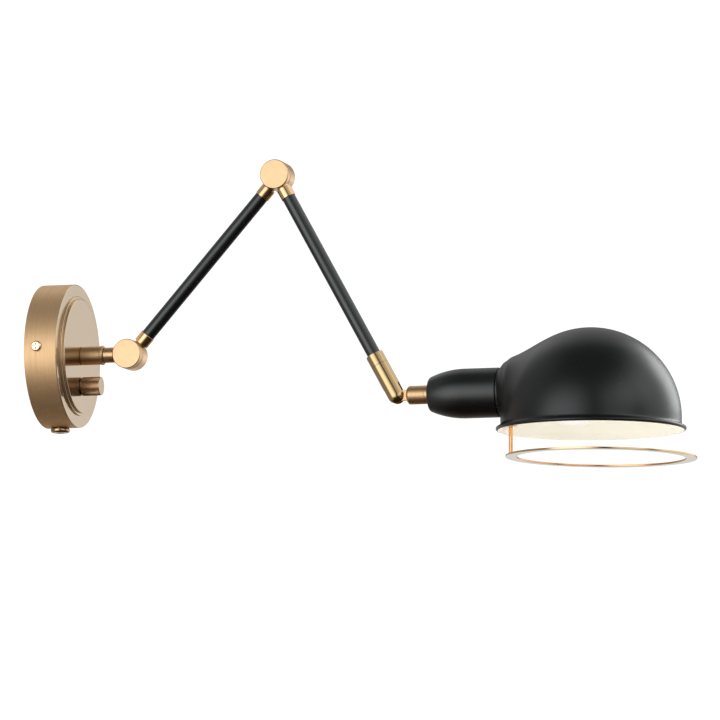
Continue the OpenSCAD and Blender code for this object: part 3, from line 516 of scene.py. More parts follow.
def make_turned_grain():
    """Fine lines left by a lathe, which run round the X axis of the vector given."""
    tree, given, result = new_group(
        "turned_grain",
        [("Vector", VECTOR, None), ("Lines", NUMBER, 1300.0), ("Sweep", NUMBER, 40.0)],
        [("Mask", NUMBER), ("Height", NUMBER)],
    )
    x, y, z = node(tree, "ShaderNodeSeparateXYZ", {0: given["Vector"]}).outputs
    radius = calc(tree, "SQRT", plus(tree, times(tree, y, y), times(tree, z, z)))
    across = times(tree, plus(tree, x, radius), given["Lines"])
    round_y, round_z = (times(tree, part, given["Sweep"]) for part in (y, z))
    return end_grain(tree, result, across, round_y, round_z, 0.65)


def make_straight_grain():
    """Hair lines that run along the X axis of the vector given."""
    tree, given, result = new_group(
        "straight_grain",
        [("Vector", VECTOR, None), ("Lines", NUMBER, 1500.0), ("Stretch", NUMBER, 60.0)],
        [("Mask", NUMBER), ("Height", NUMBER)],
    )
    x, y, z = node(tree, "ShaderNodeSeparateXYZ", {0: given["Vector"]}).outputs
    run = times(tree, x, given["Stretch"])
    across_y, across_z = (times(tree, part, given["Lines"]) for part in (y, z))
    return end_grain(tree, result, run, across_y, across_z, 0.6)


def make_surface_drift():
    """Slow cloudy change over a surface, and the few fine specks of dust on it."""
    tree, given, result = new_group(
        "surface_drift",
        [("Vector", VECTOR, None), ("Clouds", NUMBER, 28.0), ("Specks", NUMBER, 420.0)],
        [("Cloud", NUMBER), ("Dust", NUMBER)],
    )
    cloud = noise(tree, given["Vector"], given["Clouds"], 3.0, Distortion=0.6)
    cells = {"Vector": given["Vector"], "Scale": given["Specks"]}
    speck = node(tree, "ShaderNodeTexVoronoi", cells).outputs
    chance = node(tree, "ShaderNodeSeparateColor", {0: speck["Color"]}).outputs[0]
    chosen = calc(tree, "GREATER_THAN", chance, 0.93)
    close = spread(tree, speck["Distance"], 0.16, 0.05)
    tree.links.new(spread(tree, cloud, 0.3, 0.7), result["Cloud"])
    tree.links.new(times(tree, chosen, close, clamp=True), result["Dust"])
    return tree


def make_edge_wear():
    """Mask of the edges that hands and cloths polish, broken up by a slow noise."""
    tree, given, result = new_group(
        "edge_wear",
        [("Vector", VECTOR, None), ("Pointiness", NUMBER, 0.5), ("Amount", NUMBER, 1.0)],
        [("Mask", NUMBER)],
    )
    edge = spread(tree, given["Pointiness"], 0.515, 0.58)
    patchy = spread(tree, noise(tree, given["Vector"], 160.0, 3.0), 0.35, 0.6)
    mask = times(tree, times(tree, edge, patchy), given["Amount"], clamp=True)
    tree.links.new(mask, result["Mask"])
    return tree


def make_powder_coat():
    """Fine orange peel of a powder coat, with the odd lighter fleck."""
    tree, given, result = new_group(
        "powder_coat",
        [("Vector", VECTOR, None), ("Peel", NUMBER, 900.0)],
        [("Height", NUMBER), ("Fleck", NUMBER)],
    )
    peel = noise(tree, given["Vector"], given["Peel"], 2.0)
    grit = noise(tree, given["Vector"], times(tree, given["Peel"], 3.1), 1.0)
    tree.links.new(plus(tree, peel, times(tree, grit, 0.3)), result["Height"])
    tree.links.new(spread(tree, grit, 0.62, 0.78), result["Fleck"])
    return tree


GROUP_MAKERS = {
    "turned_grain": make_turned_grain,
    "straight_grain": make_straight_grain,
    "surface_drift": make_surface_drift,
    "edge_wear": make_edge_wear,
    "powder_coat": make_powder_coat,
}


def use_group(tree, name, **values):
    """One of the shader groups, placed in a material with its own values."""
    group = bpy.data.node_groups.get(name) or GROUP_MAKERS[name]()
    return node(tree, "ShaderNodeGroup", values, node_tree=group).outputs


def blank_material(name, **sockets):
    """New material whose even values stand on the shader's own sockets."""
    material = bpy.data.materials.new(name)
    material.use_nodes = True
    surface = material.node_tree.nodes["Principled BSDF"]
    for key, value in sockets.items():
        surface.inputs[key.replace("_", " ")].default_value = value
    return material, material.node_tree, surface


def piece_vector(tree, place):
    """Object coordinates turned into a piece's own frame."""
    inverse = place.inverted()
    coordinates = tree.nodes.new("ShaderNodeTexCoord").outputs["Object"]
    turn, shift = inverse.to_euler(), inverse.to_translation()
    moved = {"Vector": coordinates, "Location": shift, "Rotation": turn}
    return node(tree, "ShaderNodeMapping", moved).outputs[0]


def worn_edges(tree, vector, amount):
    """Mask of the edges that are rubbed."""
    pointiness = tree.nodes.new("ShaderNodeNewGeometry").outputs["Pointiness"]
    rubbed = use_group(tree, "edge_wear", Vector=vector, Pointiness=pointiness, Amount=amount)
    return rubbed["Mask"]


def finish_surface(tree, surface, tone, rough, height, depth):
    """Links what changes over a surface to its shader; depth is the height of its relief."""
    relief = {"Height": height, "Distance": depth, "Strength": 1.0}
    normal = node(tree, "ShaderNodeBump", relief).outputs[0]
    for key, value in (("Base Color", tone), ("Roughness", rough), ("Normal", normal)):
        tree.links.new(value, surface.inputs[key])


def tones():
    return bpy.context.scene.wall_light.finishes


def scaled(tone, share):
    return [part * share for part in tone]


# Finishes


def metal(
    name, place, light, dark, roughness, grain="turned_grain", depth=0.006, grain_depth=0.6,
    edges=0.5, metallic=1.0, **grain_values
):
    """Metal with fine tool lines, a slow drift of tone and edges that are polished a little."""
    if name in bpy.data.materials:
        return bpy.data.materials[name]
    clouded, rubbed, rubbed_light = 0.16, 0.6, 1.15
    material, tree, surface = blank_material(name, Metallic=metallic)
    vector = piece_vector(tree, place)
    lines = use_group(tree, grain, Vector=vector, **grain_values)
    drift = use_group(tree, "surface_drift", Vector=vector)
    edge = worn_edges(tree, vector, edges)
    tone = mix(tree, spread(tree, lines["Mask"], 0.0, 1.0, 1.0 - grain_depth, 1.0), dark, light)
    tone = mix(tree, times(tree, drift["Cloud"], clouded), tone, dark)
    shine = [min(1, part * rubbed_light) for part in light]
    tone = mix(tree, times(tree, edge, rubbed), tone, shine)
    rough = plus(tree, times(tree, lines["Mask"], -0.35 * roughness), 1.15 * roughness)
    rough = plus(tree, rough, times(tree, drift["Cloud"], 0.04))
    rough = plus(tree, rough, times(tree, drift["Dust"], 0.25))
    rough = calc(tree, "SUBTRACT", rough, times(tree, edge, 0.5 * roughness), clamp=True)
    finish_surface(tree, surface, tone, rough, lines["Height"], depth * MM)
    return material


def brass(name, place, roughness=0.24, **values):
    return metal(name, place, tones().brass, tones().brass_shade, roughness, **values)


def aged_brass(name, place, **values):
    return metal(name, place, tones().aged, tones().aged_shade, 0.30, **values)


def tinted(name, place, tone, dark_share, roughness, **values):
    """Metal of one tone, with lines a little darker."""
    return metal(name, place, tone, scaled(tone, dark_share), roughness, **values)


def polished_brass(name, place, **values):
    return tinted(name, place, tones().polished, 0.85, 0.09, depth=0.001, **values)


def pale_brass(name, place, roughness, **values):
    values = {"depth": 0.002, "grain_depth": 0.4, "edges": 0.15, **values}
    return tinted(name, place, tones().pale, 0.9, roughness, **values)


def bright_brass(name, place, **values):
    return tinted(name, place, tones().bright, 0.8, 0.13, depth=0.002, **values)


# Painted reflection: pale brass for the ring's downward faces, standing in for the floor's bright reflection.
def brass_with_painted_reflection(name, place):
    return tinted(
        name, place, tones().underside, 0.9, 0.13,
        depth=0.002, grain_depth=0.4, edges=0.2, Lines=900.0,
    )


# Painted light: brass tinted with a painted warm glow, for the ring's inner edge and its post.
def brass_with_painted_glow(name, place):
    return tinted(
        name, place, tones().painted_glow_brass, 0.9, 0.2, depth=0.001, grain_depth=0.4, edges=0.2
    )


def screw_plate():
    return tinted("yellow_zinc", CANOPY_AXIS, tones().yellow, 0.85, 0.2, depth=0.001, edges=0.2)


def zinc(name="zinc_small_parts", place=CANOPY_AXIS, **values):
    return tinted(name, place, tones().steel, 0.7, 0.34, grain="straight_grain", **values)


def satin_black(name, place, roughness, gloss):
    """Powder coat: soft gloss, fine orange peel and a little dust."""
    if name in bpy.data.materials:
        return bpy.data.materials[name]
    black, dust, worn = tones().black, (0.20, 0.20, 0.19), (0.06, 0.06, 0.06)
    cool = (0.93, 1.0, 1.03, 1)
    material, tree, surface = blank_material(
        name, Metallic=0.0, Specular_IOR_Level=gloss, Specular_Tint=cool
    )
    vector = piece_vector(tree, place)
    peel = use_group(tree, "powder_coat", Vector=vector)
    drift = use_group(tree, "surface_drift", Vector=vector, Clouds=16.0)
    edge = worn_edges(tree, vector, 0.5)
    tone = mix(tree, times(tree, peel["Fleck"], 0.5), black, scaled(black, 2.2))
    tone = mix(tree, times(tree, drift["Dust"], 0.35), tone, dust)
    tone = mix(tree, times(tree, edge, 0.3), tone, worn)
    rough = plus(tree, times(tree, drift["Cloud"], 0.06), roughness - 0.03)
    finish_surface(tree, surface, tone, rough, peel["Height"], 0.004 * MM)
    return material


def moulded(name, place, tone, roughness, **sockets):
    """Plain moulded, glazed or coated surface with a fine texture and a slow drift."""
    if name in bpy.data.materials:
        return bpy.data.materials[name]
    dust = (0.45, 0.44, 0.42)
    material, tree, surface = blank_material(name, Metallic=0.0, **sockets)
    vector = piece_vector(tree, place)
    peel = use_group(tree, "powder_coat", Vector=vector, Peel=1400.0)
    drift = use_group(tree, "surface_drift", Vector=vector)
    shaded = mix(tree, times(tree, drift["Cloud"], 0.35), tone, scaled(tone, 0.86))
    shaded = mix(tree, times(tree, drift["Dust"], 0.3), shaded, dust)
    rough = plus(tree, times(tree, drift["Cloud"], 0.08), roughness - 0.04)
    finish_surface(tree, surface, shaded, rough, peel["Height"], 0.003 * MM)
    return material


def lit_glaze(name, tone, roughness, glow, **sockets):
    """Pale glazed surface that glows a little: on the shade's enamel the glow is painted light that brightens the
    inside of the shade, on the lamp it is the lamp's own light.
    """
    return moulded(
        name, HEAD, tone, roughness,
        Emission_Color=(*tone, 1), Emission_Strength=glow, **sockets,
    )


def nylon():
    return moulded("washer_nylon", CANOPY_AXIS, (0.03, 0.03, 0.03), 0.5)


def sheath():
    return moulded("rubber_sheath", CANOPY_AXIS, (0.025, 0.025, 0.025), 0.55)


# Geometry trees for what repeats

GEOMETRY, WHOLE, OBJECT, MATERIAL = (
    "NodeSocketGeometry", "NodeSocketInt", "NodeSocketObject", "NodeSocketMaterial",
)


def new_tree(name, inputs):
    """New geometry tree, with a material as its last input."""
    inputs = [("Geometry", GEOMETRY, None), *inputs, ("Material", MATERIAL, None)]
    return new_group(name, inputs, [("Geometry", GEOMETRY)], "GeometryNodeTree")


def end_tree(tree, given, result, geometry):
    """Ends a geometry tree in real faces with their material."""
    real = node(tree, "GeometryNodeRealizeInstances", {"Geometry": geometry}).outputs[0]
    coated = {"Geometry": real, "Material": given["Material"]}
    shown = node(tree, "GeometryNodeSetMaterial", coated).outputs[0]
    tree.links.new(shown, result["Geometry"])
    return tree


def raised(tree, geometry, height):
    """Geometry moved up the Z axis."""
    shift = node(tree, "ShaderNodeCombineXYZ", {2: height}).outputs[0]
    moved = {"Geometry": geometry, "Translation": shift}
    return node(tree, "GeometryNodeTransform", moved).outputs[0]


def placed(tree, points, instance, turn):
    """An instance on each of some points, turned by its own angles."""
    rotation = node(tree, "FunctionNodeEulerToRotation", {0: turn}).outputs[0]
    copies = {"Points": points, "Instance": instance, "Rotation": rotation}
    return node(tree, "GeometryNodeInstanceOnPoints", copies).outputs[0]


def make_ridge_sleeve():
    """Straight ridges round the Z axis, as on a knurled knob."""
    tree, given, result = new_tree("ridge_sleeve", [
        ("Count", WHOLE, 60), ("Radius", NUMBER, 7.5 * MM), ("Ridge Height", NUMBER, 0.3 * MM),
        ("Length", NUMBER, 10 * MM), ("Middle", NUMBER, 0.0),
    ])
    ring = {"Vertices": given["Count"], "Radius": given["Radius"]}
    circle = node(tree, "GeometryNodeMeshCircle", ring).outputs[0]
    bar = {"Vertices": 4, "Radius": given["Ridge Height"], "Depth": given["Length"]}
    ridge = node(tree, "GeometryNodeMeshCylinder", bar).outputs[0]
    index = tree.nodes.new("GeometryNodeInputIndex").outputs[0]
    angle = calc(tree, "DIVIDE", times(tree, index, math.tau), given["Count"])
    turn = node(tree, "ShaderNodeCombineXYZ", {2: angle}).outputs[0]
    ridges = placed(tree, circle, ridge, turn)
    return end_tree(tree, given, result, raised(tree, ridges, given["Middle"]))


def make_thread_coil():
    """Round thread that climbs along the Z axis, as on a lamp's cap."""
    tree, given, result = new_tree("thread_coil", [
        ("Turns", NUMBER, 4.0), ("Radius", NUMBER, 12 * MM), ("Height", NUMBER, 14 * MM),
        ("Thread Radius", NUMBER, 0.8 * MM), ("Start", NUMBER, 0.0),
    ])
    climb = {
        "Resolution": 40, "Rotations": given["Turns"], "Start Radius": given["Radius"],
        "End Radius": given["Radius"], "Height": given["Height"],
    }
    coil = node(tree, "GeometryNodeCurveSpiral", climb).outputs[0]
    ring = {"Resolution": 10, "Radius": given["Thread Radius"]}
    section = node(tree, "GeometryNodeCurvePrimitiveCircle", ring).outputs[0]
    wound = {"Curve": coil, "Profile Curve": section, "Fill Caps": True}
    thread = node(tree, "GeometryNodeCurveToMesh", wound).outputs[0]
    return end_tree(tree, given, result, raised(tree, thread, given["Start"]))


def make_screw_row():
    """Copies of one screw along a line, each turned on from the last."""
    tree, given, result = new_tree("screw_row", [
        ("Screw", OBJECT, None), ("Count", WHOLE, 2), ("Start", VECTOR, None),
        ("Step", VECTOR, None), ("Turn", VECTOR, None),
    ])
    row = {"Count": given["Count"], "Start Location": given["Start"], "Offset": given["Step"]}
    line = node(tree, "GeometryNodeMeshLine", row).outputs[0]
    screw = node(tree, "GeometryNodeObjectInfo", {"Object": given["Screw"]}).outputs["Geometry"]
    index = tree.nodes.new("GeometryNodeInputIndex").outputs[0]
    turned_on = {0: given["Turn"], "Scale": index}
    turn = node(tree, "ShaderNodeVectorMath", turned_on, operation="SCALE").outputs[0]
    return end_tree(tree, given, result, placed(tree, line, screw, turn))


TREE_MAKERS = {
    "ridge_sleeve": make_ridge_sleeve,
    "thread_coil": make_thread_coil,
    "screw_row": make_screw_row,
}


def grown(name, tree_name, place, values):
    """Plain mesh that a geometry tree makes from named values, set in its place."""
    tree = bpy.data.node_groups.get(tree_name) or TREE_MAKERS[tree_name]()
    piece = add_object(name, bpy.data.meshes.new(name))
    modifier = piece.modifiers.new("Grow", "NODES")
    modifier.node_group = tree
    sockets = {
        item.name: item.identifier for item in tree.interface.items_tree
        if item.item_type == "SOCKET" and item.in_out == "INPUT"
    }
    for label, value in values.items():
        modifier[sockets[label]] = value
    settle(piece)
    piece.data.transform(place)
    return piece


# Turns a tree's Z axis into a frame's X axis
UPRIGHT = Matrix.Rotation(math.radians(90), 4, "Y")


def cross_screw(name, head_radius, head_height, shank_radius, shank_length):
    """Pan head screw with a cross recess, its head's seat at the origin and its head along -Y."""
    edge, crown = 0.35 * head_height, 0.82
    place = along(Vector(), -Y)
    outline = [
        (-shank_length, 0), (-shank_length, shank_radius, 0.3 * shank_radius), (0, shank_radius),
        (0, head_radius, edge), (0.6 * head_height, head_radius, edge),
        (head_height, crown * head_radius, 1.4 * edge), (head_height, 0),
    ]
    screw = turned(name, place, outline, 48)
    long, wide, deep = 0.62 * head_radius, 0.13 * head_radius, 0.55 * head_height
    arm = [(wide, wide), (wide, long), (-wide, long)]
    cross = [(y, z) for turn in range(4) for y, z in quarter_turned(arm, turn)]
    recess = prism("recess", place, cross, head_height - deep, head_height + deep)
    combine(screw, recess, "DIFFERENCE")
    return screw


def quarter_turned(points, turns):
    """Points turned about the origin by a number of quarter turns."""
    for _ in range(turns):
        points = [(-z, y) for y, z in points]
    return points


# Stage


class WALLLIGHT_OT_stage(bpy.types.Operator):
    """Make the floor, the soft studio lights and the camera"""

    bl_idname = "wall_light.stage"
    bl_label = "Stage"

    def execute(self, context):
        view = context.scene.wall_light.view
        add_camera(context.scene, view)
        add_floor(view.floor_drop)
        add_room(context.scene, view)
        for light in STUDIO_LIGHTS:
            add_soft_light(*light)
        context.scene.view_settings.view_transform = "Standard"
        return {"FINISHED"}


# The light that shines only on the shade, for its bright right edge
SHADE_KEY = "shade_key"
# Name, place, what it faces, width, height, watts, tint
STUDIO_LIGHTS = (
    ("key_left_front", (-1.30, -1.75, 0.75), (0.25, 0, 0), 1.5, 1.6, 34, (1.0, 0.985, 0.96)),
    ("strip_left", (-1.9, -0.45, 0.35), (0.3, 0, 0), 0.5, 1.6, 13, (1.0, 0.99, 0.97)),
    ("top", (0.35, -0.2, 1.7), (0.3, 0, 0), 1.1, 0.8, 9, (1.0, 1.0, 1.0)),
    ("back_right", (1.7, 1.3, 0.4), (0.3, 0, 0), 0.8, 1.6, 14, (1.0, 1.0, 1.0)),
    (SHADE_KEY, (1.77, 2.13, 1.0), (0.46, 0, 0), 1.4, 1.6, 22, (0.98, 1.0, 0.99)),
)


def add_camera(scene, view):
    camera = bpy.data.objects.new("camera", bpy.data.cameras.new("camera"))
    scene.collection.objects.link(camera)
    camera.data.lens = view.lens
    camera.data.sensor_width = 36
    camera.data.clip_end = 50
    ahead = Vector((
        -math.sin(view.azimuth) * math.cos(view.tilt),
        math.cos(view.azimuth) * math.cos(view.tilt),
        math.sin(view.tilt),
    ))
    right = Vector((math.cos(view.azimuth), math.sin(view.azimuth), 0))
    turn = Matrix((right, right.cross(ahead), -ahead)).transposed().to_4x4()
    camera.matrix_world = Matrix.Translation(view.place) @ turn
    scene.camera = camera


def add_floor(drop):
    """Round pale floor, a little uneven in tone."""
    shape = bmesh.new()
    bmesh.ops.create_circle(shape, cap_ends=True, segments=96, radius=7)
    shape.transform(Matrix.Translation((0, 0, -drop)))
    floor = from_bmesh("floor", shape)
    paint = moulded("floor_paint", Matrix.Identity(4), (0.82, 0.81, 0.79), 0.6)
    floor.data.materials.append(paint)
    floor.visible_glossy = False


# Windows that shine in metal and gloss. All but the strength are in degrees: heading (from the
# camera, positive to its right), half width, low edge, high edge, softness, strength
ROOM_WINDOWS = (
    (-36, 26, -26, 30, 10, 1.0),
    (-44, 22, -14, 12, 12, 1.0),
    (-80, 36, -50, -5, 12, 0.32),
    (-36, 10, 6, 40, 12, 0.30),
    (33, 20, -6, 36, 10, 0.9),
    (60, 20, 14, 46, 11, 0.95),
    (109, 39, -14, 56, 12, 0.95),
    (-118, 46, 2, 62, 14, 0.30),
    (180, 42, 22, 80, 14, 0.45),
    (180, 34, -22, 4, 10, 0.42),
    (180, 62, -55, 6, 12, 0.24),
)


# Strengths of the room's own faint light (low and high up), the fill and the white backdrop
ROOM_GLOW = (0.03, 0.10)
LEAST_GLOW = 0.02
FILL_STRENGTH = 0.85
BACKDROP_STRENGTH = 1.1


def room_window(tree, x, y, z, level, window):
    """Glow of one window in the direction x, y, z; level is how far that is from upright."""
    *angles, strength = window
    heading, half, low, high, soft = (math.radians(angle) for angle in angles)
    sideways = times(tree, x, math.sin(heading)), times(tree, y, math.cos(heading))
    across = calc(tree, "DIVIDE", calc(tree, "SUBTRACT", *sideways), level)
    wide = spread(tree, across, math.cos(half + soft), math.cos(max(half - soft, 0)))
    over = spread(tree, z, math.sin(low - soft), math.sin(low + soft))
    under = spread(tree, z, math.sin(high + soft), math.sin(high - soft))
    glow = {0: times(tree, times(tree, wide, over), under), 4: strength}
    return node(tree, "ShaderNodeMapRange", glow, interpolation_type="SMOOTHSTEP").outputs[0]


def add_room(scene, view):
    """White backdrop for the camera, and a dim room with soft windows for reflections."""
    world = bpy.data.worlds.new("room")
    world.use_nodes = True
    tree = world.node_tree
    tree.nodes.clear()
    direction = tree.nodes.new("ShaderNodeTexCoord").outputs["Generated"]
    turn = {"Vector": direction, "Angle": -view.azimuth}
    to_camera = node(tree, "ShaderNodeVectorRotate", turn, rotation_type="Z_AXIS").outputs[0]
    x, y, z = node(tree, "ShaderNodeSeparateXYZ", {0: to_camera}).outputs
    level = calc(tree, "SQRT", calc(tree, "SUBTRACT", 1, times(tree, z, z)))
    level = calc(tree, "MAXIMUM", level, 0.01)
    room = spread(tree, z, -0.7, 0.8, *ROOM_GLOW)
    for window in ROOM_WINDOWS:
        room = plus(tree, room, room_window(tree, x, y, z, level, window))
    room = calc(tree, "MAXIMUM", room, LEAST_GLOW)
    warm = mix(tree, spread(tree, z, -0.8, -0.2), (1.0, 0.72, 0.50), (1.0, 0.985, 0.965))

    def background(tone, strength):
        light = {"Color": tone, "Strength": strength}
        return node(tree, "ShaderNodeBackground", light).outputs[0]

    def either(choice, one, two):
        return node(tree, "ShaderNodeMixShader", {0: choice, 1: one, 2: two}).outputs[0]

    rays = tree.nodes.new("ShaderNodeLightPath").outputs
    fill = background((1.0, 0.99, 0.97, 1), FILL_STRENGTH)
    backdrop = background((1, 1, 1, 1), BACKDROP_STRENGTH)
    lit = either(rays["Is Diffuse Ray"], background(warm, room), fill)
    seen = either(rays["Is Camera Ray"], lit, backdrop)
    node(tree, "ShaderNodeOutputWorld", {"Surface": seen})
    scene.world = world


def add_soft_light(name, place, target, width, height, watts, tint):
    light = bpy.data.lights.new(name, "AREA")
    light.shape = "RECTANGLE"
    light.size, light.size_y = width, height
    light.energy = watts
    light.color = tint
    lamp = bpy.data.objects.new(name, light)
    lamp.visible_glossy = name == SHADE_KEY
    bpy.context.scene.collection.objects.link(lamp)
    aim = (Vector(target) - Vector(place)).to_track_quat("-Z", "Y")
    lamp.matrix_world = Matrix.Translation(place) @ aim.to_matrix().to_4x4()


# Canopy


class WALLLIGHT_OT_canopy(bpy.types.Operator):
    """Make the round canopy with its stepped face"""

    bl_idname = "wall_light.canopy"
    bl_label = "Canopy"

    def execute(self, context):
        side = brass(
            "brass_canopy_side", CANOPY_AXIS, 0.48, grain_depth=0.4, edges=0.2, metallic=0.93,
            Lines=2600.0, Sweep=14.0,
        )
        face = pale_brass("brass_canopy_face", CANOPY_AXIS, 0.13, Lines=3000.0, Sweep=10.0)
        canopy = canopy_shell(context.scene.wall_light.sizes)
        mark_faces(canopy, lambda polygon: polygon.normal.x > 0.5)
        stand_for(canopy, "canopy", side, face)
        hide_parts("canopy_face")
        return {"FINISHED"}


def canopy_shell(sizes):
    """Spun canopy with a flange and two steps on its face, open at the back."""
    low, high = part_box("canopy")[0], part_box("canopy_face")[1]
    radius, front, sheet = high.z, high.x, sizes.sheet
    points = vertices_in("canopy_face", CANOPY_AXIS)
    profile = sorted({(round(p.x, 5), round(off_axis(p), 5)) for p in points})
    disc = max(r for x, r in profile if x > front - 0.8 * MM)
    flange = max(x for x, r in profile if r > 0.93 * radius)
    step_x = max(x for x, r in profile if disc + MM < r < 0.9 * radius)
    step_r = max(r for x, r in profile if flange + 0.3 * MM < x < step_x)
    bore = reach("stem_collar", CANOPY_AXIS, lambda p: p.x < front - 2 * MM)[2] + FIT
    edge, fine, crease = sizes.canopy_edge, sizes.step_edge, 0.25 * MM
    canopy = turned("canopy_drum", CANOPY_AXIS, [
        (low.x, radius - sheet, 0.2 * MM), (low.x, radius, 0.4 * MM), (flange, radius, edge),
        (flange, step_r, crease), (step_x, step_r, fine), (step_x, disc, crease),
        (front, disc, fine), (front, bore), (front - sheet, bore),
        (front - sheet, disc - sheet, fine), (flange - sheet, disc - sheet, crease),
        (flange - sheet, radius - sheet, edge),
    ], 192)
    screws, inlet = middle("side_screws"), middle("cord_bush")
    screw_line = along(Vector((screws.x, 0, screws.z)), Y)
    dimmer_hole, screw_hole = 3.85 * MM, 2.25 * MM
    drill(canopy, DIMMER_AXIS, front - 3 * sheet, front + sheet, dimmer_hole)
    drill(canopy, screw_line, -2 * radius, 2 * radius, screw_hole)
    drill(canopy, along(X * inlet.x, -Z), 0.5 * radius, 2 * radius, THREAD_HOLE)
    return canopy


class WALLLIGHT_OT_wall_fixings(bpy.types.Operator):
    """Make the wall bracket, the earth screw, the terminal block and the canopy's side screws"""

    bl_idname = "wall_light.wall_fixings"
    bl_label = "Wall fixings"

    def execute(self, context):
        bracket_zinc = zinc("zinc_bracket", along(Vector(), Y), depth=0.012, Lines=900.0)
        stand_for(eased_copy("wall_bracket", 0.3 * MM), "wall_bracket", bracket_zinc)
        stand_for(side_screws(), "side_screws", screw_plate())
        earth_brass = aged_brass("brass_earth_screw", CANOPY_AXIS)
        stand_for(earth_screw(), "ground_screw", earth_brass)
        block_plastic = moulded("ivory_plastic", CANOPY_AXIS, (0.72, 0.70, 0.63), 0.35)
        stand_for(eased_copy("terminal_block", 0.5 * MM), "terminal_block", block_plastic)
        ride_with(terminal_screws(), "terminal_block", zinc())
        return {"FINISHED"}


def side_screws():
    """Two like screws on the canopy's sides, the second turned half round."""
    low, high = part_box("side_screws")
    centre = middle("side_screws")
    inner = min(abs(vertex.y) for vertex in vertices_in("side_screws", Matrix.Identity(4)))
    crown, thread = 2.1 * MM, 2.0 * MM
    seat = high.y - crown
    screw = cross_screw("side_screw", (high.z - low.z) / 2, crown, thread, seat - inner)
    screws = grown("canopy_screws", "screw_row", Matrix.Identity(4), {
        "Screw": screw, "Count": 2, "Turn": (math.pi, 0, 0), "Material": screw_plate(),
        "Start": (centre.x, -seat, centre.z), "Step": (0, 2 * seat, 0),
    })
    discard(screw)
    return screws


# Turns a screw's head from -Y to +X, towards the room
TO_ROOM = Matrix.Rotation(math.pi / 2, 4, "Z")


def earth_screw():
    low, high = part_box("ground_screw")
    centre, crown, thread = middle("ground_screw"), 2.4 * MM, 2.0 * MM
    screw = cross_screw("earth_screw", (high.z - low.z) / 2, crown, thread, 1.6 * MM)
    seat = Matrix.Translation((high.x - crown, centre.y, centre.z))
    screw.data.transform(seat @ TO_ROOM)
    return screw


def terminal_screws():
    """Clamp screws in the three poles of the terminal block."""
    low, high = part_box("terminal_block")
    poles, sunk = 3, 1.8 * MM
    pole = (high.z - low.z) / poles
    screw = cross_screw("clamp_screw", 1.5 * MM, 1.0 * MM, 1.0 * MM, 3 * MM)
    screw.data.transform(TO_ROOM)
    screws = grown("terminal_screws", "screw_row", Matrix.Identity(4), {
        "Screw": screw, "Count": poles, "Turn": (0.9, 0, 0), "Material": zinc(),
        "Start": (high.x - sunk, (low.y + high.y) / 2, low.z + pole / 2), "Step": (0, 0, pole),
    })
    discard(screw)
    return screws


class WALLLIGHT_OT_cord_inlet(bpy.types.Operator):
    """Make the cord inlet's bush and its domed ring nut"""

    bl_idname = "wall_light.cord_inlet"
    bl_label = "Cord inlet"

    def execute(self, context):
        place = along(X * middle("cord_bush_nut").x, -Z)
        start, end, radius = reach("cord_bush_nut", place)
        bush_start, bush_end, flange = reach("cord_bush", place)
        flange_end, lip = bush_start + 2 * MM, end - 1.5 * MM
        bore, dome = 3.5 * MM, (end - start) / 2 - 0.1 * MM
        polished = metal(
            "brass_inlet", place, (0.62, 0.44, 0.26), (0.30, 0.19, 0.10), 0.12,
            depth=0.002, Lines=900.0,
        )
        nut = turned("inlet_ring_nut", place, [
            (start, THREAD_HOLE), (start, radius, dome), (end, radius, dome),
            (end, bore, 0.5 * MM), (lip, bore), (lip, THREAD_HOLE),
        ])
        bush = turned("inlet_bush", place, [
            (bush_start, bore, 0.4 * MM), (bush_start, flange, 0.4 * MM),
            (flange_end, flange, 0.3 * MM), (flange_end, THREAD), (bush_end, THREAD, 0.3 * MM),
            (bush_end, bore, 0.3 * MM),
        ])
        stand_for(nut, "cord_bush_nut", polished)
        stand_for(bush, "cord_bush", polished)
        return {"FINISHED"}


# Dimmer


class WALLLIGHT_OT_dimmer(bpy.types.Operator):
    """Make the dimmer with its knurled knob"""

    bl_idname = "wall_light.dimmer"
    bl_label = "Dimmer"

    def execute(self, context):
        side = aged_brass(
            "brass_knob_side", DIMMER_AXIS, grain="straight_grain", depth=0.008,
            Lines=1100.0, Stretch=30.0,
        )
        end = pale_brass("brass_knob_end", DIMMER_AXIS, 0.25, Lines=1200.0)
        knob, knurl = knob_pieces(context.scene.wall_light.sizes, side)
        mark_faces(knob, lambda polygon: polygon.normal.x > 0.85)
        stand_for(knob, "knob", side, end)
        ride_with(knurl, "knob", side)
        case = moulded("dimmer_blue", DIMMER_AXIS, (0.045, 0.09, 0.16), 0.4)
        stand_for(eased_copy("dimmer_case", 0.5 * MM), "dimmer_case", case)
        for name in ("dimmer_bush", "dimmer_nut"):
            stand_for(eased_copy(name, 0.12 * MM), name, zinc())
        carry("dimmer_shaft", zinc())
        carry("knob_set_screw", zinc())
        return {"FINISHED"}


def knob_pieces(sizes, material):
    """Knob body with rounded ends, and the band of ridges round it."""
    start, end, radius = reach("knob", DIMMER_AXIS)
    shaft = reach("dimmer_shaft", DIMMER_AXIS, lambda p: p.x > start)[2] + FIT
    recess, shaft_end, rim = start + 5 * MM, end - 3 * MM, end - 0.5 * MM
    body, wall = radius - sizes.knurl_height, radius - 1.2 * MM
    knob = turned("knob_body", DIMMER_AXIS, [
        (shaft_end, 0), (shaft_end, shaft), (recess, shaft), (recess, wall),
        (start, wall, 0.1 * MM), (start, body, 0.3 * MM), (rim, body), (rim, radius - FIT),
        (end, radius - FIT, 0.3 * MM), (end, 0),
    ])
    first, last, ridge = start + 0.6 * MM, rim - FIT, 0.35 * MM
    knurl = grown("knob_knurl", "ridge_sleeve", DIMMER_AXIS @ UPRIGHT, {
        "Count": sizes.knurl_count, "Radius": radius - ridge, "Ridge Height": ridge,
        "Length": last - first, "Middle": (first + last) / 2, "Material": material,
    })
    return knob, knurl


# Stem


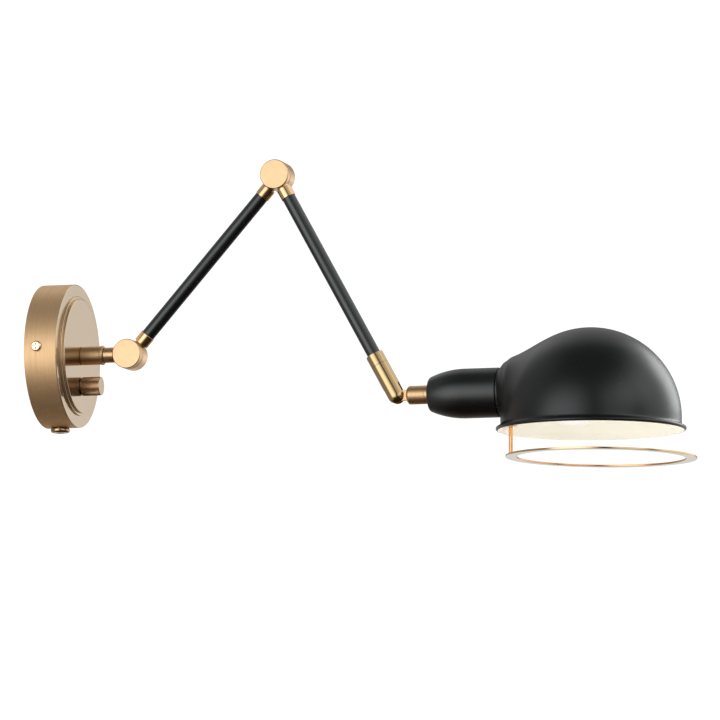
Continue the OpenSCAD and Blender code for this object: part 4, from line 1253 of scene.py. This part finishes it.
class WALLLIGHT_OT_stem(bpy.types.Operator):
    """Make the fixed collar and the turning neck with the shoulder's front half"""

    bl_idname = "wall_light.stem"
    bl_label = "Stem"

    def execute(self, context):
        stem_brass = brass(
            "brass_stem", CANOPY_AXIS, 0.42, Lines=2600.0, depth=0.003, grain_depth=0.35,
            edges=0.2,
        )
        stand_for(stem_collar(), "stem_collar", stem_brass)
        face = knuckle_face("brass_shoulder", SHOULDER_AXIS)
        neck = stem_neck(context.scene.wall_light.sizes)
        finish_faces(neck, "stem_neck", stem_brass, face)
        for name in ("collar_nut", "stem_locknut"):
            stand_for(eased_copy(name, 0.2 * MM), name, zinc())
        carry("swivel_washers", nylon())
        carry("stem_lead", sheath())
        return {"FINISHED"}


def stem_neck(sizes):
    """Neck with its thread in the collar and the shoulder's front half at its end."""
    start = reach("stem_neck", CANOPY_AXIS)[0]
    collar_end = reach("stem_collar", CANOPY_AXIS)[1]
    past = collar_end + 2 * MM
    radius = reach("stem_neck", CANOPY_AXIS, lambda p: collar_end < p.x < past)[2]
    root, shoulder, bore = SHOULDER.x - LINK_END, collar_end + 0.5 * MM, 3.2 * MM
    link_start, link_end, link_radius = root - MM, root + 2.2 * MM, 5.25 * MM
    neck = barrel_half("stem_neck", "shoulder", SHOULDER_AXIS, sizes, front=True)
    link = turned("link", CANOPY_AXIS, [
        (link_start, 0), (link_start, link_radius), (link_end, link_radius), (link_end, 0),
    ])
    behind = block("behind", (0, -PARTING, -FAR), (2 * FAR, FAR, FAR), CANOPY_AXIS)
    combine(link, behind, "DIFFERENCE")
    combine(neck, link, "UNION")
    tube = turned("neck_tube", CANOPY_AXIS, [
        (start, 0), (start, THREAD, 0.3 * MM), (shoulder, THREAD),
        (shoulder, radius, 0.25 * MM), (root, radius, 0.3 * MM), (root, 0),
    ], MANY_SIDES)
    combine(neck, tube, "UNION")
    drill(neck, CANOPY_AXIS, start - MM, root - 1.5 * MM, bore)
    return neck


def stem_collar():
    """Collar with a bead between two fine grooves at its end and a groove at its root."""
    face_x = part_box("canopy_face")[1].x
    start, end, bead = reach("stem_collar", CANOPY_AXIS)
    radius = bead - 0.5 * MM
    thread = reach("stem_collar", CANOPY_AXIS, lambda p: p.x < face_x - 2 * MM)[2]
    bore, groove, fine = 5.06 * MM, 0.35 * MM, 0.12 * MM
    seat, root, root_radius = face_x + FIT, face_x + 0.65 * MM, radius - MM
    bead_start, bead_end, land = end - 2.2 * MM, end - 0.6 * MM, radius - groove
    return turned("collar_body", CANOPY_AXIS, [
        (start, bore), (start, thread, 0.3 * MM), (seat, thread), (seat, root_radius),
        (root, root_radius), (root, radius, 0.2 * MM), (bead_start - groove, radius, fine),
        (bead_start - groove, land), (bead_start, land), (bead_start, bead, 0.4 * MM),
        (bead_end, bead, 0.4 * MM), (bead_end, land), (end - 0.3 * MM, land),
        (end, radius - 0.6 * MM), (end, bore),
    ], MANY_SIDES)


# Knuckles


def knuckle_face(name, place):
    """Brass of a knuckle: brushed straight across its flat faces."""
    tilt, across = math.radians(35), math.radians(90)
    brushed = place @ Matrix.Rotation(tilt, 4, "X") @ Matrix.Rotation(across, 4, "Z")
    return tinted(
        name + "_face", brushed, tones().disc, 0.8, 0.28, grain="straight_grain", depth=0.003,
        grain_depth=0.16, edges=0.2, Lines=2600.0, Stretch=60.0,
    )


def barrel_half(node_name, joint, place, sizes, front):
    """Half of a knuckle's barrel with its chamber; the front half has a closed face."""
    radius = reach(joint + "_cap", place)[2]
    chamber, bush, fine = radius - 2.6 * MM, 4.05 * MM, 0.08 * MM
    edge, groove = sizes.barrel_edge, sizes.barrel_groove
    points = vertices_in(node_name, place)
    ends = [p.x for p in points if abs(off_axis(p) - radius) < NEAR]
    if front:
        face, parting = min(p.x for p in points), max(ends)
        inner, seat = face + 1.6 * MM, parting - 2 * MM
        return turned(node_name + "_body", place, [
            (face, 0), (face, radius, edge), (parting - MM, radius),
            (parting, radius, 0.15 * MM), (parting, bush), (seat, bush), (seat, chamber),
            (inner, chamber), (inner, 0),
        ], MANY_SIDES)
    parting, back = min(ends), cap_seat(joint, place) - FIT
    line, seat = parting + 1.3 * MM, parting + 3.2 * MM
    return turned(node_name + "_body", place, [
        (parting, bush), (parting, radius, 0.15 * MM), (line, radius, fine),
        (line, radius - groove), (line + groove, radius - groove),
        (line + groove, radius, fine), (back, radius, 0.12 * MM), (back, chamber),
        (seat, chamber), (seat, bush),
    ], MANY_SIDES)


def cap_seat(joint, place):
    """Where a knuckle's cap seats on its barrel."""
    points = vertices_in(joint + "_cap", place)
    radius = max(off_axis(p) for p in points)
    return min(p.x for p in points if off_axis(p) > radius - NEAR)


def barrel_cap(joint, place, sizes):
    """Cap with a thin wall that fits in the barrel's chamber."""
    start, end, radius = reach(joint + "_cap", place)
    seat, outside = cap_seat(joint, place), radius - 2.65 * MM
    inside = outside - 1.15 * MM
    return turned(joint + "_back_cap", place, [
        (seat, 0), (seat, inside), (start, inside), (start, outside, 0.2 * MM),
        (seat, outside), (seat, radius, 0.12 * MM), (end, radius, sizes.barrel_edge), (end, 0),
    ], MANY_SIDES)


class WALLLIGHT_OT_knuckles(bpy.types.Operator):
    """Make both knuckles, but for the shoulder's front half, and their pivot sets"""

    bl_idname = "wall_light.knuckles"
    bl_label = "Knuckles"

    def execute(self, context):
        sizes = context.scene.wall_light.sizes
        knuckles = ("shoulder", SHOULDER_AXIS, ARM_1), ("elbow", ELBOW_AXIS, ARM_1_BACK)
        for joint, place, arm in knuckles:
            side = brass(
                "brass_" + joint, place, Lines=2400.0, depth=0.003, grain_depth=0.35, edges=0.2
            )
            face = knuckle_face("brass_" + joint, place)
            back = barrel_half(joint + "_back", joint, place, sizes, front=False)
            add_spigot(back, joint + "_back", arm, 5.0 * MM)
            finish_faces(back, joint + "_back", side, face)
            finish_faces(barrel_cap(joint, place, sizes), joint + "_cap", side, face)
            carry(joint + "_bush", zinc())
            carry(joint + "_nut", zinc())
            carry(joint + "_washers", nylon())
        front = barrel_half("elbow_front", "elbow", ELBOW_AXIS, sizes, front=True)
        add_spigot(front, "elbow_front", ARM_2, 5.2 * MM, keep_front=True)
        finish_faces(front, "elbow_front", side, face)
        return {"FINISHED"}


def finish_faces(piece, name, side, face):
    """Gives a knuckle's flat faces their straight brushing and the rest its turned lines."""
    mark_faces(piece, lambda polygon: abs(polygon.normal.y) > 0.9)
    stand_for(piece, name, side, face)


def add_spigot(piece, name, arm, link, keep_front=False):
    """Joins a knuckle half to the link and the spigot that carry an arm."""
    start, end, root = 10.5 * MM, reach(name, arm)[1], LINK_END + FIT
    bar = turned("spigot", arm, [
        (start, 0), (start, link), (root, link, 0.2 * MM), (root, SPIGOT),
        (end, SPIGOT, 0.3 * MM), (end, 0),
    ], 64)
    if keep_front:
        behind = block("behind", (-FAR, -PARTING, -FAR), (LINK_END, FAR, FAR), arm)
        combine(bar, behind, "DIFFERENCE")
    combine(piece, bar, "UNION")
    drill(piece, arm, start + 0.5 * MM, end + MM, LEAD_BORE)


# Arms


class WALLLIGHT_OT_arms(bpy.types.Operator):
    """Make the two black arm tubes and their brass ferrules"""

    bl_idname = "wall_light.arms"
    bl_label = "Arms"

    def execute(self, context):
        edge = context.scene.wall_light.sizes.ferrule_edge
        for name, place in (("arm_1", ARM_1), ("arm_2", ARM_2)):
            start, end, radius = reach(name + "_tube", place)
            tube = sleeve(
                name + "_black_tube", place, start, end, radius, radius - MM, 0.2 * MM,
                MANY_SIDES,
            )
            stand_for(tube, name + "_tube", satin_black("black_" + name, place, 0.32, 1.0))
            carry(name + "_lead", sheath())
        first = ferrule("lower_ferrule", "arm_1_ferrules", ARM_1, edge)
        second = ferrule("upper_ferrule", "arm_1_ferrules", ARM_1_BACK, edge)
        combine(first, second, "UNION")
        stand_for(first, "arm_1_ferrules", ferrule_brass("brass_arm_1", ARM_1))
        elbow = ferrule("elbow_sleeve", "elbow_ferrule", ARM_2, edge)
        stand_for(elbow, "elbow_ferrule", ferrule_brass("brass_arm_2", ARM_2))
        return {"FINISHED"}


def ferrule_brass(name, place):
    return brass(
        name, place, 0.17, depth=0.002, grain_depth=0.35, edges=0.2, Lines=2400.0, Sweep=20.0
    )


def ferrule(name, node_name, place, edge, near_edge=None):
    """Sleeve at an arm's near end, bored for the spigot and wider for the tube's end."""
    half_way = 60 * MM
    start, end, radius = reach(node_name, place, lambda p: p.x < half_way)
    seat, depth = 5.7 * MM, 2.45 * MM
    return turned(name, place, [
        (start, SPIGOT_BORE), (start, radius, near_edge or edge), (end, radius, edge),
        (end, seat, 0.1 * MM), (end - depth, seat), (end - depth, SPIGOT_BORE),
    ])


# Wrist


class WALLLIGHT_OT_wrist(bpy.types.Operator):
    """Make the slotted wrist body, its ferrule and its pivot screw"""

    bl_idname = "wall_light.wrist"
    bl_label = "Wrist"

    def execute(self, context):
        edge = context.scene.wall_light.sizes.ferrule_edge
        polished = polished_brass(
            "brass_wrist", ARM_2_BACK, grain_depth=0.25, edges=0.2, Lines=2400.0, Sweep=20.0
        )
        wrist_sleeve = ferrule("wrist_sleeve", "wrist_ferrule", ARM_2_BACK, edge, 0.12 * MM)
        stand_for(wrist_sleeve, "wrist_ferrule", polished)
        stand_for(wrist_clevis(), "wrist_clevis", polished)
        stand_for(eased_copy("wrist_screw", 0.1 * MM), "wrist_screw", zinc())
        carry("wrist_washers", nylon())
        return {"FINISHED"}


def wrist_clevis():
    """Round bar with a ball end, slotted for the head's tongue."""
    _, end, radius = reach("wrist_clevis", ARM_2_BACK)
    body_end = reach("wrist_ferrule", ARM_2_BACK)[0] - 0.1 * MM
    ball = [(-radius * math.cos(t), radius * math.sin(t)) for t in arc_turns(0, 90, 15)]
    clevis = turned("wrist_body", ARM_2_BACK, ball + [
        (body_end, radius, 0.12 * MM), (body_end, SPIGOT), (end, SPIGOT, 0.3 * MM), (end, 0),
    ], MANY_SIDES)
    slot, depth, wide = 3.2 * MM, 8.6 * MM, 30 * MM
    gap = block("slot", (-wide, -slot, -wide), (depth, slot, wide), ARM_2_BACK)
    combine(clevis, gap, "DIFFERENCE")
    across, through = along(WRIST, Y), 20 * MM
    wall, screw_hole, head_hole = 1.6 * MM, 2.05 * MM, 3.45 * MM
    drill(clevis, across, wall - radius, through, screw_hole)
    drill(clevis, across, slot + wall, through, head_hole)
    drill(clevis, ARM_2_BACK, 7 * MM, 80 * MM, LEAD_BORE)
    ease(clevis, 0.3 * MM, 3)
    return clevis


# Head


class WALLLIGHT_OT_socket(bpy.types.Operator):
    """Make the head's brass neck, the black cover and the lampholder"""

    bl_idname = "wall_light.socket"
    bl_label = "Socket"

    def execute(self, context):
        neck_brass = brass(
            "brass_head_neck", HEAD, 0.42, Lines=2600.0, depth=0.002, grain_depth=0.3,
            edges=0.2,
        )
        stand_for(head_neck(), "head_neck", neck_brass)
        stand_for(socket_cover(), "socket_cover", satin_black("black_cover", HEAD, 0.33, 0.8))
        holder = moulded("black_phenolic", HEAD, (0.018, 0.017, 0.016), 0.28)
        stand_for(eased_copy("lampholder", 0.25 * MM), "lampholder", holder)
        contact = brass("brass_contacts", HEAD, 0.2, depth=0.002)
        for name in ("screw_shell", "centre_contact"):
            stand_for(eased_copy(name, 0.0), name, contact)
        carry("socket_nipple", zinc())
        carry("nipple_nut", zinc())
        carry("head_lead", sheath())
        return {"FINISHED"}


def head_neck():
    """Neck with a chamfered near end, a fine line near its far end, and the wrist's tongue."""
    _, end, radius = reach("head_neck", HEAD)
    points = vertices_in("head_neck", HEAD)
    flat = [p for p in points if p.x < 8 * MM]
    thick, tall = max(p.y for p in flat), max(p.z for p in flat)
    near = min(p.x for p in points if off_axis(p) > tall + 0.9 * MM)
    chamfer, fine, in_line = 1.6 * MM, 0.05 * MM, radius - 0.15 * MM
    line, line_end = end - 2.8 * MM, end - 2.55 * MM
    neck = turned("head_neck_body", HEAD, [
        (near, 0), (near, radius - chamfer, 0.15 * MM), (near + chamfer, radius, 0.2 * MM),
        (line, radius, fine), (line, in_line), (line_end, in_line), (line_end, radius, fine),
        (end, radius, 0.25 * MM), (end, 0),
    ], MANY_SIDES)
    tongue = [(-tall * math.sin(t), tall * math.cos(t)) for t in arc_turns(0, 180, 36)]
    tongue += [(near + MM, -tall), (near + MM, tall)]
    across, screw_hole = along(WRIST, Y), 2.06 * MM
    combine(neck, prism("tongue", across, tongue, -thick, thick), "UNION")
    drill(neck, across, -thick - MM, thick + MM, screw_hole)
    drill(neck, HEAD, end - 8 * MM, end + MM, THREAD_HOLE)
    ease(neck, 0.2 * MM)
    return neck


def socket_cover():
    """Cover with a long tapering arc, a rounded small end and a rolled lip."""
    start, end, radius = reach("socket_cover", HEAD)
    wall, arc, taper, small = 1.5 * MM, 72 * MM, 30.5 * MM, 3 * MM
    run = (taper - small) / (1 - small / arc)
    angle = math.asin(run / arc)
    centre = radius - arc + (arc - small) * math.cos(angle)

    def half_outline(inset):
        corner = [
            (start + small + (small - inset) * math.cos(t), centre + (small - inset) * math.sin(t))
            for t in (math.pi - i / 8 * (math.pi / 2 - angle) for i in range(9))
        ]
        side = arc - inset
        sweep = [
            (start + taper - side * math.sin(t), radius - arc + side * math.cos(t))
            for t in (angle * (1 - i / 20) for i in range(1, 21))
        ]
        return corner + sweep

    outside, inside = half_outline(0), half_outline(wall)
    lip = [(end, radius, 0.7 * MM), (end, radius - wall, 0.3 * MM)]
    hole, hole_end = (start, THREAD_HOLE), (start + wall, THREAD_HOLE)
    outline = [hole, *outside, *lip, *reversed(inside), hole_end]
    return turned("socket_cover_body", HEAD, outline, 160)


# Shade


class WALLLIGHT_OT_shade(bpy.types.Operator):
    """Make the domed shade with its rolled rim, and what clamps it"""

    bl_idname = "wall_light.shade"
    bl_label = "Shade"

    def execute(self, context):
        lights = context.scene.wall_light
        # The enamel's glow is painted light: it brightens the inside of the shade.
        enamel = lit_glaze("white_enamel_painted_glow", lights.finishes.enamel, 0.32, 0.16)
        coats = satin_black("black_head", HEAD, 0.34, 0.6), enamel
        shade = shade_shell(lights.sizes, coats)
        stand_for(shade, "shade", *coats)
        light_alone(shade)
        aged = aged_brass("brass_clamp", HEAD)
        for name in ("shade_ring_nut", "ring_bracket"):
            stand_for(eased_copy(name, 0.25 * MM), name, aged)
        return {"FINISHED"}


def light_alone(shade):
    """Keeps the shade's key light off every other piece."""
    lit = bpy.data.collections.new("lit_by_shade_key")
    lit.objects.link(shade)
    lamp = bpy.data.objects.get(SHADE_KEY)
    if lamp:
        lamp.light_linking.receiver_collection = lit


# Points of the rim's roll that are black; the others turn inwards and have the enamel
BLACK_ROLL = 13


def shade_rows(radius, sheet, bottom, sizes):
    """Half outline of the dome about its upright axis: (radius, height, side), outside first."""
    bead, sweep = sizes.rim_bead, sizes.rim_sweep
    rim_radius, inner = rim_reach() - bead, radius - sheet
    sweep_top, foot = bottom + 2 * bead + 0.78 * sweep, bottom + 2.4 * bead
    outside = [(radius * math.sin(t), radius * math.cos(t)) for t in arc_turns(0, 90, 90)]
    outside += [(radius, sweep_top * share) for share in (0.5, 1.0)]
    outside += [
        (radius + sweep * (1 - math.cos(t)), sweep_top - sweep * math.sin(t))
        for t in arc_turns(9, 63, 6)
    ]
    roll = [
        (rim_radius + bead * math.cos(t), bottom + bead + bead * math.sin(t))
        for t in arc_turns(96, -142, 17)
    ]
    inside = [(inner, foot), (inner, foot / 2)]
    inside += [(inner * math.sin(t), inner * math.cos(t)) for t in arc_turns(90, 0, 90)]
    sides = (
        ("outside", outside), ("rim", roll[:BLACK_ROLL]), ("lip", roll[BLACK_ROLL:]),
        ("inside", inside),
    )
    return [(*point, side) for side, points in sides for point in points]


def rim_reach():
    """Radius of the shade's rim over its bead."""
    low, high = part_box("shade")
    return (high.y - low.y) / 2


def shade_shell(sizes, materials):
    """Dome with its points pushed out from inside, on to a surface blended with a short neck."""
    low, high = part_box("shade")
    start = reach("lampholder", HEAD, lambda p: off_axis(p) > 18 * MM)[1] + FIT
    radius, neck, hole = rim_reach() - 3.8 * MM, 26.4 * MM, 16.85 * MM
    dome = Vector((start + radius, 0, high.z - WRIST.z - radius))
    bottom = low.z - WRIST.z - dome.z
    heart = Vector((dome.x - 25 * MM, 0, dome.z + 9 * MM))
    columns, gather = 224, 0.55
    angles = [t + gather * math.sin(t) for t in (math.tau * i / columns for i in range(columns))]
    shape = bmesh.new()
    rings = []
    for r, z, side in shade_rows(radius, sizes.sheet, bottom, sizes):
        ring = []
        for a in angles if r > POLE else [0]:
            point = dome + Vector((r * math.cos(a), r * math.sin(a), z))
            if side in ("outside", "inside") and z > bottom + 5 * MM:
                inset = sizes.sheet if side == "inside" else 0
                point = blended(
                    point, heart, dome, radius, neck, start, inset, sizes.neck_blend
                )
            ring.append(shape.verts.new(WRIST + point))
        rings.append((ring, side))
    for (one, side), (two, _) in zip(rings, rings[1:]):
        bridge(shape, one, two, columns, int(side in ("lip", "inside")))
    bmesh.ops.recalc_face_normals(shape, faces=shape.faces)
    shade = from_bmesh("shade_shell", shape)
    for material in materials:
        shade.data.materials.append(material)
    drill(shade, HEAD, start - 2 * MM, start + 4 * MM, hole, 96)
    return shade


# How near a point of the shade has to come to the blended surface, in at most so many steps
REACHED, MOST_STEPS = 1e-6, 60


def blended(point, heart, dome, radius, neck, start, inset, softness):
    """Moves a point of the dome out from the heart until it lies on dome and neck together."""
    ray = (point - heart).normalized()
    for _ in range(MOST_STEPS):
        gap = blend_distance(point, dome, radius, neck, start, inset, softness)
        if gap > -REACHED:
            break
        point = point - ray * gap
    return point


def blend_distance(point, dome, radius, neck, start, inset, softness):
    """Distance to dome and neck, joined by a soft hollow that fades at the neck's end."""
    fade, least = 10 * MM, 1e-6
    offset = point - dome
    to_dome = (offset.length if offset.z > 0 else offset.to_2d().length) - (radius - inset)
    corner = 7.5 * MM - inset
    outward = off_axis(point) - (neck - inset - corner)
    forward = (start + inset + corner) - point.x
    to_neck = math.hypot(max(outward, 0), max(forward, 0)) + min(max(outward, forward), 0) - corner
    to_neck = max(to_neck, point.x - dome.x)
    share = min(max((point.x - start) / fade, 0), 1)
    soft = (softness + inset) * share * share * (3 - 2 * share) + least
    near = max(soft - abs(to_dome - to_neck), 0) / soft
    return min(to_dome, to_neck) - near * near * soft / 4


# Trim ring and lamp


class WALLLIGHT_OT_trim_ring(bpy.types.Operator):
    """Make the flat trim ring and the post that carries it"""

    bl_idname = "wall_light.trim_ring"
    bl_label = "Trim ring"

    def execute(self, context):
        low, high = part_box("trim_ring")
        lean = Matrix.Rotation(context.scene.wall_light.sizes.ring_sag, 4, "Y")
        place = Matrix.Translation(middle("trim_ring")) @ lean @ along(Vector(), Z)
        radius, edge, half_thick = (high.y - low.y) / 2, 0.28 * MM, 0.8 * MM
        inner = radius - 9.2 * MM
        ring = turned("ring_flat", place, [
            (-half_thick, inner, edge), (-half_thick, radius, edge),
            (half_thick, radius, edge), (half_thick, inner, edge),
        ], 256)
        # The inner edge's faces get the painted warm glow, the downward faces the painted reflection of the floor,
        # and the rest the ring's brass.
        for polygon in ring.data.polygons:
            point = place.inverted() @ polygon.center
            is_inner, is_under = off_axis(point) < inner + FIT, polygon.normal.z < -0.9
            polygon.material_index = 1 if is_inner else 2 if is_under else 0
        shine = bright_brass("brass_ring", place, Lines=900.0, Sweep=12.0)
        under = brass_with_painted_reflection("brass_ring_underside_painted_reflection", place)
        # The ring's inner edge and the whole post carry a painted warm glow.
        stand_for(ring, "trim_ring", shine, brass_with_painted_glow("brass_ring_inside_painted_glow", place), under)
        stand_for(ring_post(), "ring_post", brass_with_painted_glow("brass_post_painted_glow", along(Vector(), Z)))
        carry("post_nut", zinc())
        return {"FINISHED"}


def ring_post():
    """Post with a small collar at each end, a thin thread above and a rivet below."""
    low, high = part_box("ring_post")
    place = along(X * middle("ring_post").x, Z)
    radius, rivet, thread = (high.x - low.x) / 2, 1.2 * MM, 1.5 * MM
    body = [p.x for p in vertices_in("ring_post", place) if off_axis(p) > radius - NEAR]
    bottom, top, waist, fine = min(body), max(body), radius - 0.2 * MM, 0.1 * MM
    collar, slope = 1.2 * MM, 1.5 * MM
    return turned("ring_post_body", place, [
        (low.z, 0), (low.z, rivet, 0.2 * MM), (bottom, rivet), (bottom, radius, 0.25 * MM),
        (bottom + collar, radius, fine), (bottom + slope, waist, fine),
        (top - slope, waist, fine), (top - collar, radius, fine), (top, radius, 0.25 * MM),
        (top, thread), (high.z, thread, 0.25 * MM), (high.z, 0),
    ], 48)


class WALLLIGHT_OT_lamp(bpy.types.Operator):
    """Make the opal lamp with its threaded cap"""

    bl_idname = "wall_light.lamp"
    bl_label = "Lamp"

    def execute(self, context):
        glass = lit_glaze("lamp_opal", tones().opal, 0.14, 0.2, Coat_Weight=0.3)
        stand_for(lamp_glass(), "bulb_glass", glass)
        cap = metal(
            "cap_aluminium", HEAD, (0.80, 0.80, 0.82), (0.62, 0.62, 0.64), 0.26, depth=0.003
        )
        body, thread = lamp_cap(cap)
        stand_for(body, "bulb_cap", cap)
        ride_with(thread, "bulb_cap", cap)
        return {"FINISHED"}


def lamp_glass():
    """Round globe that draws in to its neck, as a thin shell."""
    start, end, radius = reach("bulb_glass", HEAD)
    centre, neck, wall = end - radius, 13.3 * MM, 1 * MM

    def half_outline(inset):
        globe = [
            (centre + (radius - inset) * math.cos(t), (radius - inset) * math.sin(t))
            for t in arc_turns(0, 128, 40)
        ]
        return globe + [(start + 5 * MM, neck - inset, 6 * MM), (start, neck - inset)]

    outside, inside = half_outline(0), half_outline(wall)
    return turned("lamp_globe", HEAD, inside + outside[::-1], MANY_SIDES)


def lamp_cap(material):
    """Cap with a tip and a tapered insulator, and the thread rolled round it."""
    start, end, radius = reach("bulb_cap", HEAD)
    tip, tip_radius, thread, fine = start + 1.2 * MM, 4.2 * MM, 0.8 * MM, 0.3 * MM
    core = radius - thread
    body = turned("lamp_cap_body", HEAD, [
        (start, 0), (start, tip_radius, 0.8 * MM), (tip, tip_radius + 0.4 * MM, 0.2 * MM),
        (tip + 0.1 * MM, 6 * MM), (start + 5 * MM, core, 0.6 * MM), (end - 4 * MM, core, fine),
        (end - 3.4 * MM, radius, fine), (end, radius, fine), (end, 0),
    ], 96)
    coil = grown("lamp_cap_thread", "thread_coil", HEAD @ UPRIGHT, {
        "Turns": 4.0, "Radius": core - FIT, "Height": 13.5 * MM, "Thread Radius": thread,
        "Start": start + 6.5 * MM, "Material": material,
    })
    return body, coil


# Panel, registration and the run


class WALLLIGHT_PT_panel(bpy.types.Panel):
    """Lists the parts of the wall light"""

    bl_idname = "WALLLIGHT_PT_panel"
    bl_label = "Wall Light"
    bl_space_type = "VIEW_3D"
    bl_region_type = "UI"
    bl_category = "Wall Light"

    def draw(self, context):
        for operator in OPERATORS:
            self.layout.operator(operator.bl_idname)
        settings = context.scene.wall_light
        for group in (settings.view, settings.finishes, settings.sizes):
            box = self.layout.box()
            for name in group.__annotations__:
                box.prop(group, name)


OPERATORS = (
    WALLLIGHT_OT_stage,
    WALLLIGHT_OT_canopy,
    WALLLIGHT_OT_wall_fixings,
    WALLLIGHT_OT_cord_inlet,
    WALLLIGHT_OT_dimmer,
    WALLLIGHT_OT_stem,
    WALLLIGHT_OT_knuckles,
    WALLLIGHT_OT_arms,
    WALLLIGHT_OT_wrist,
    WALLLIGHT_OT_socket,
    WALLLIGHT_OT_shade,
    WALLLIGHT_OT_trim_ring,
    WALLLIGHT_OT_lamp,
)
CLASSES = (
    WallLightView, WallLightFinishes, WallLightSizes, WallLightSettings,
    *OPERATORS, WALLLIGHT_PT_panel,
)


def register():
    for cls in CLASSES:
        bpy.utils.register_class(cls)
    bpy.types.Scene.wall_light = PointerProperty(type=WallLightSettings)


def unregister():
    del bpy.types.Scene.wall_light
    for cls in reversed(CLASSES):
        bpy.utils.unregister_class(cls)


def main():
    """Builds the whole light."""
    register()
    for operator in OPERATORS:
        group, name = operator.bl_idname.split(".")
        getattr(getattr(bpy.ops, group), name)()


if __name__ == "__main__":
    main()
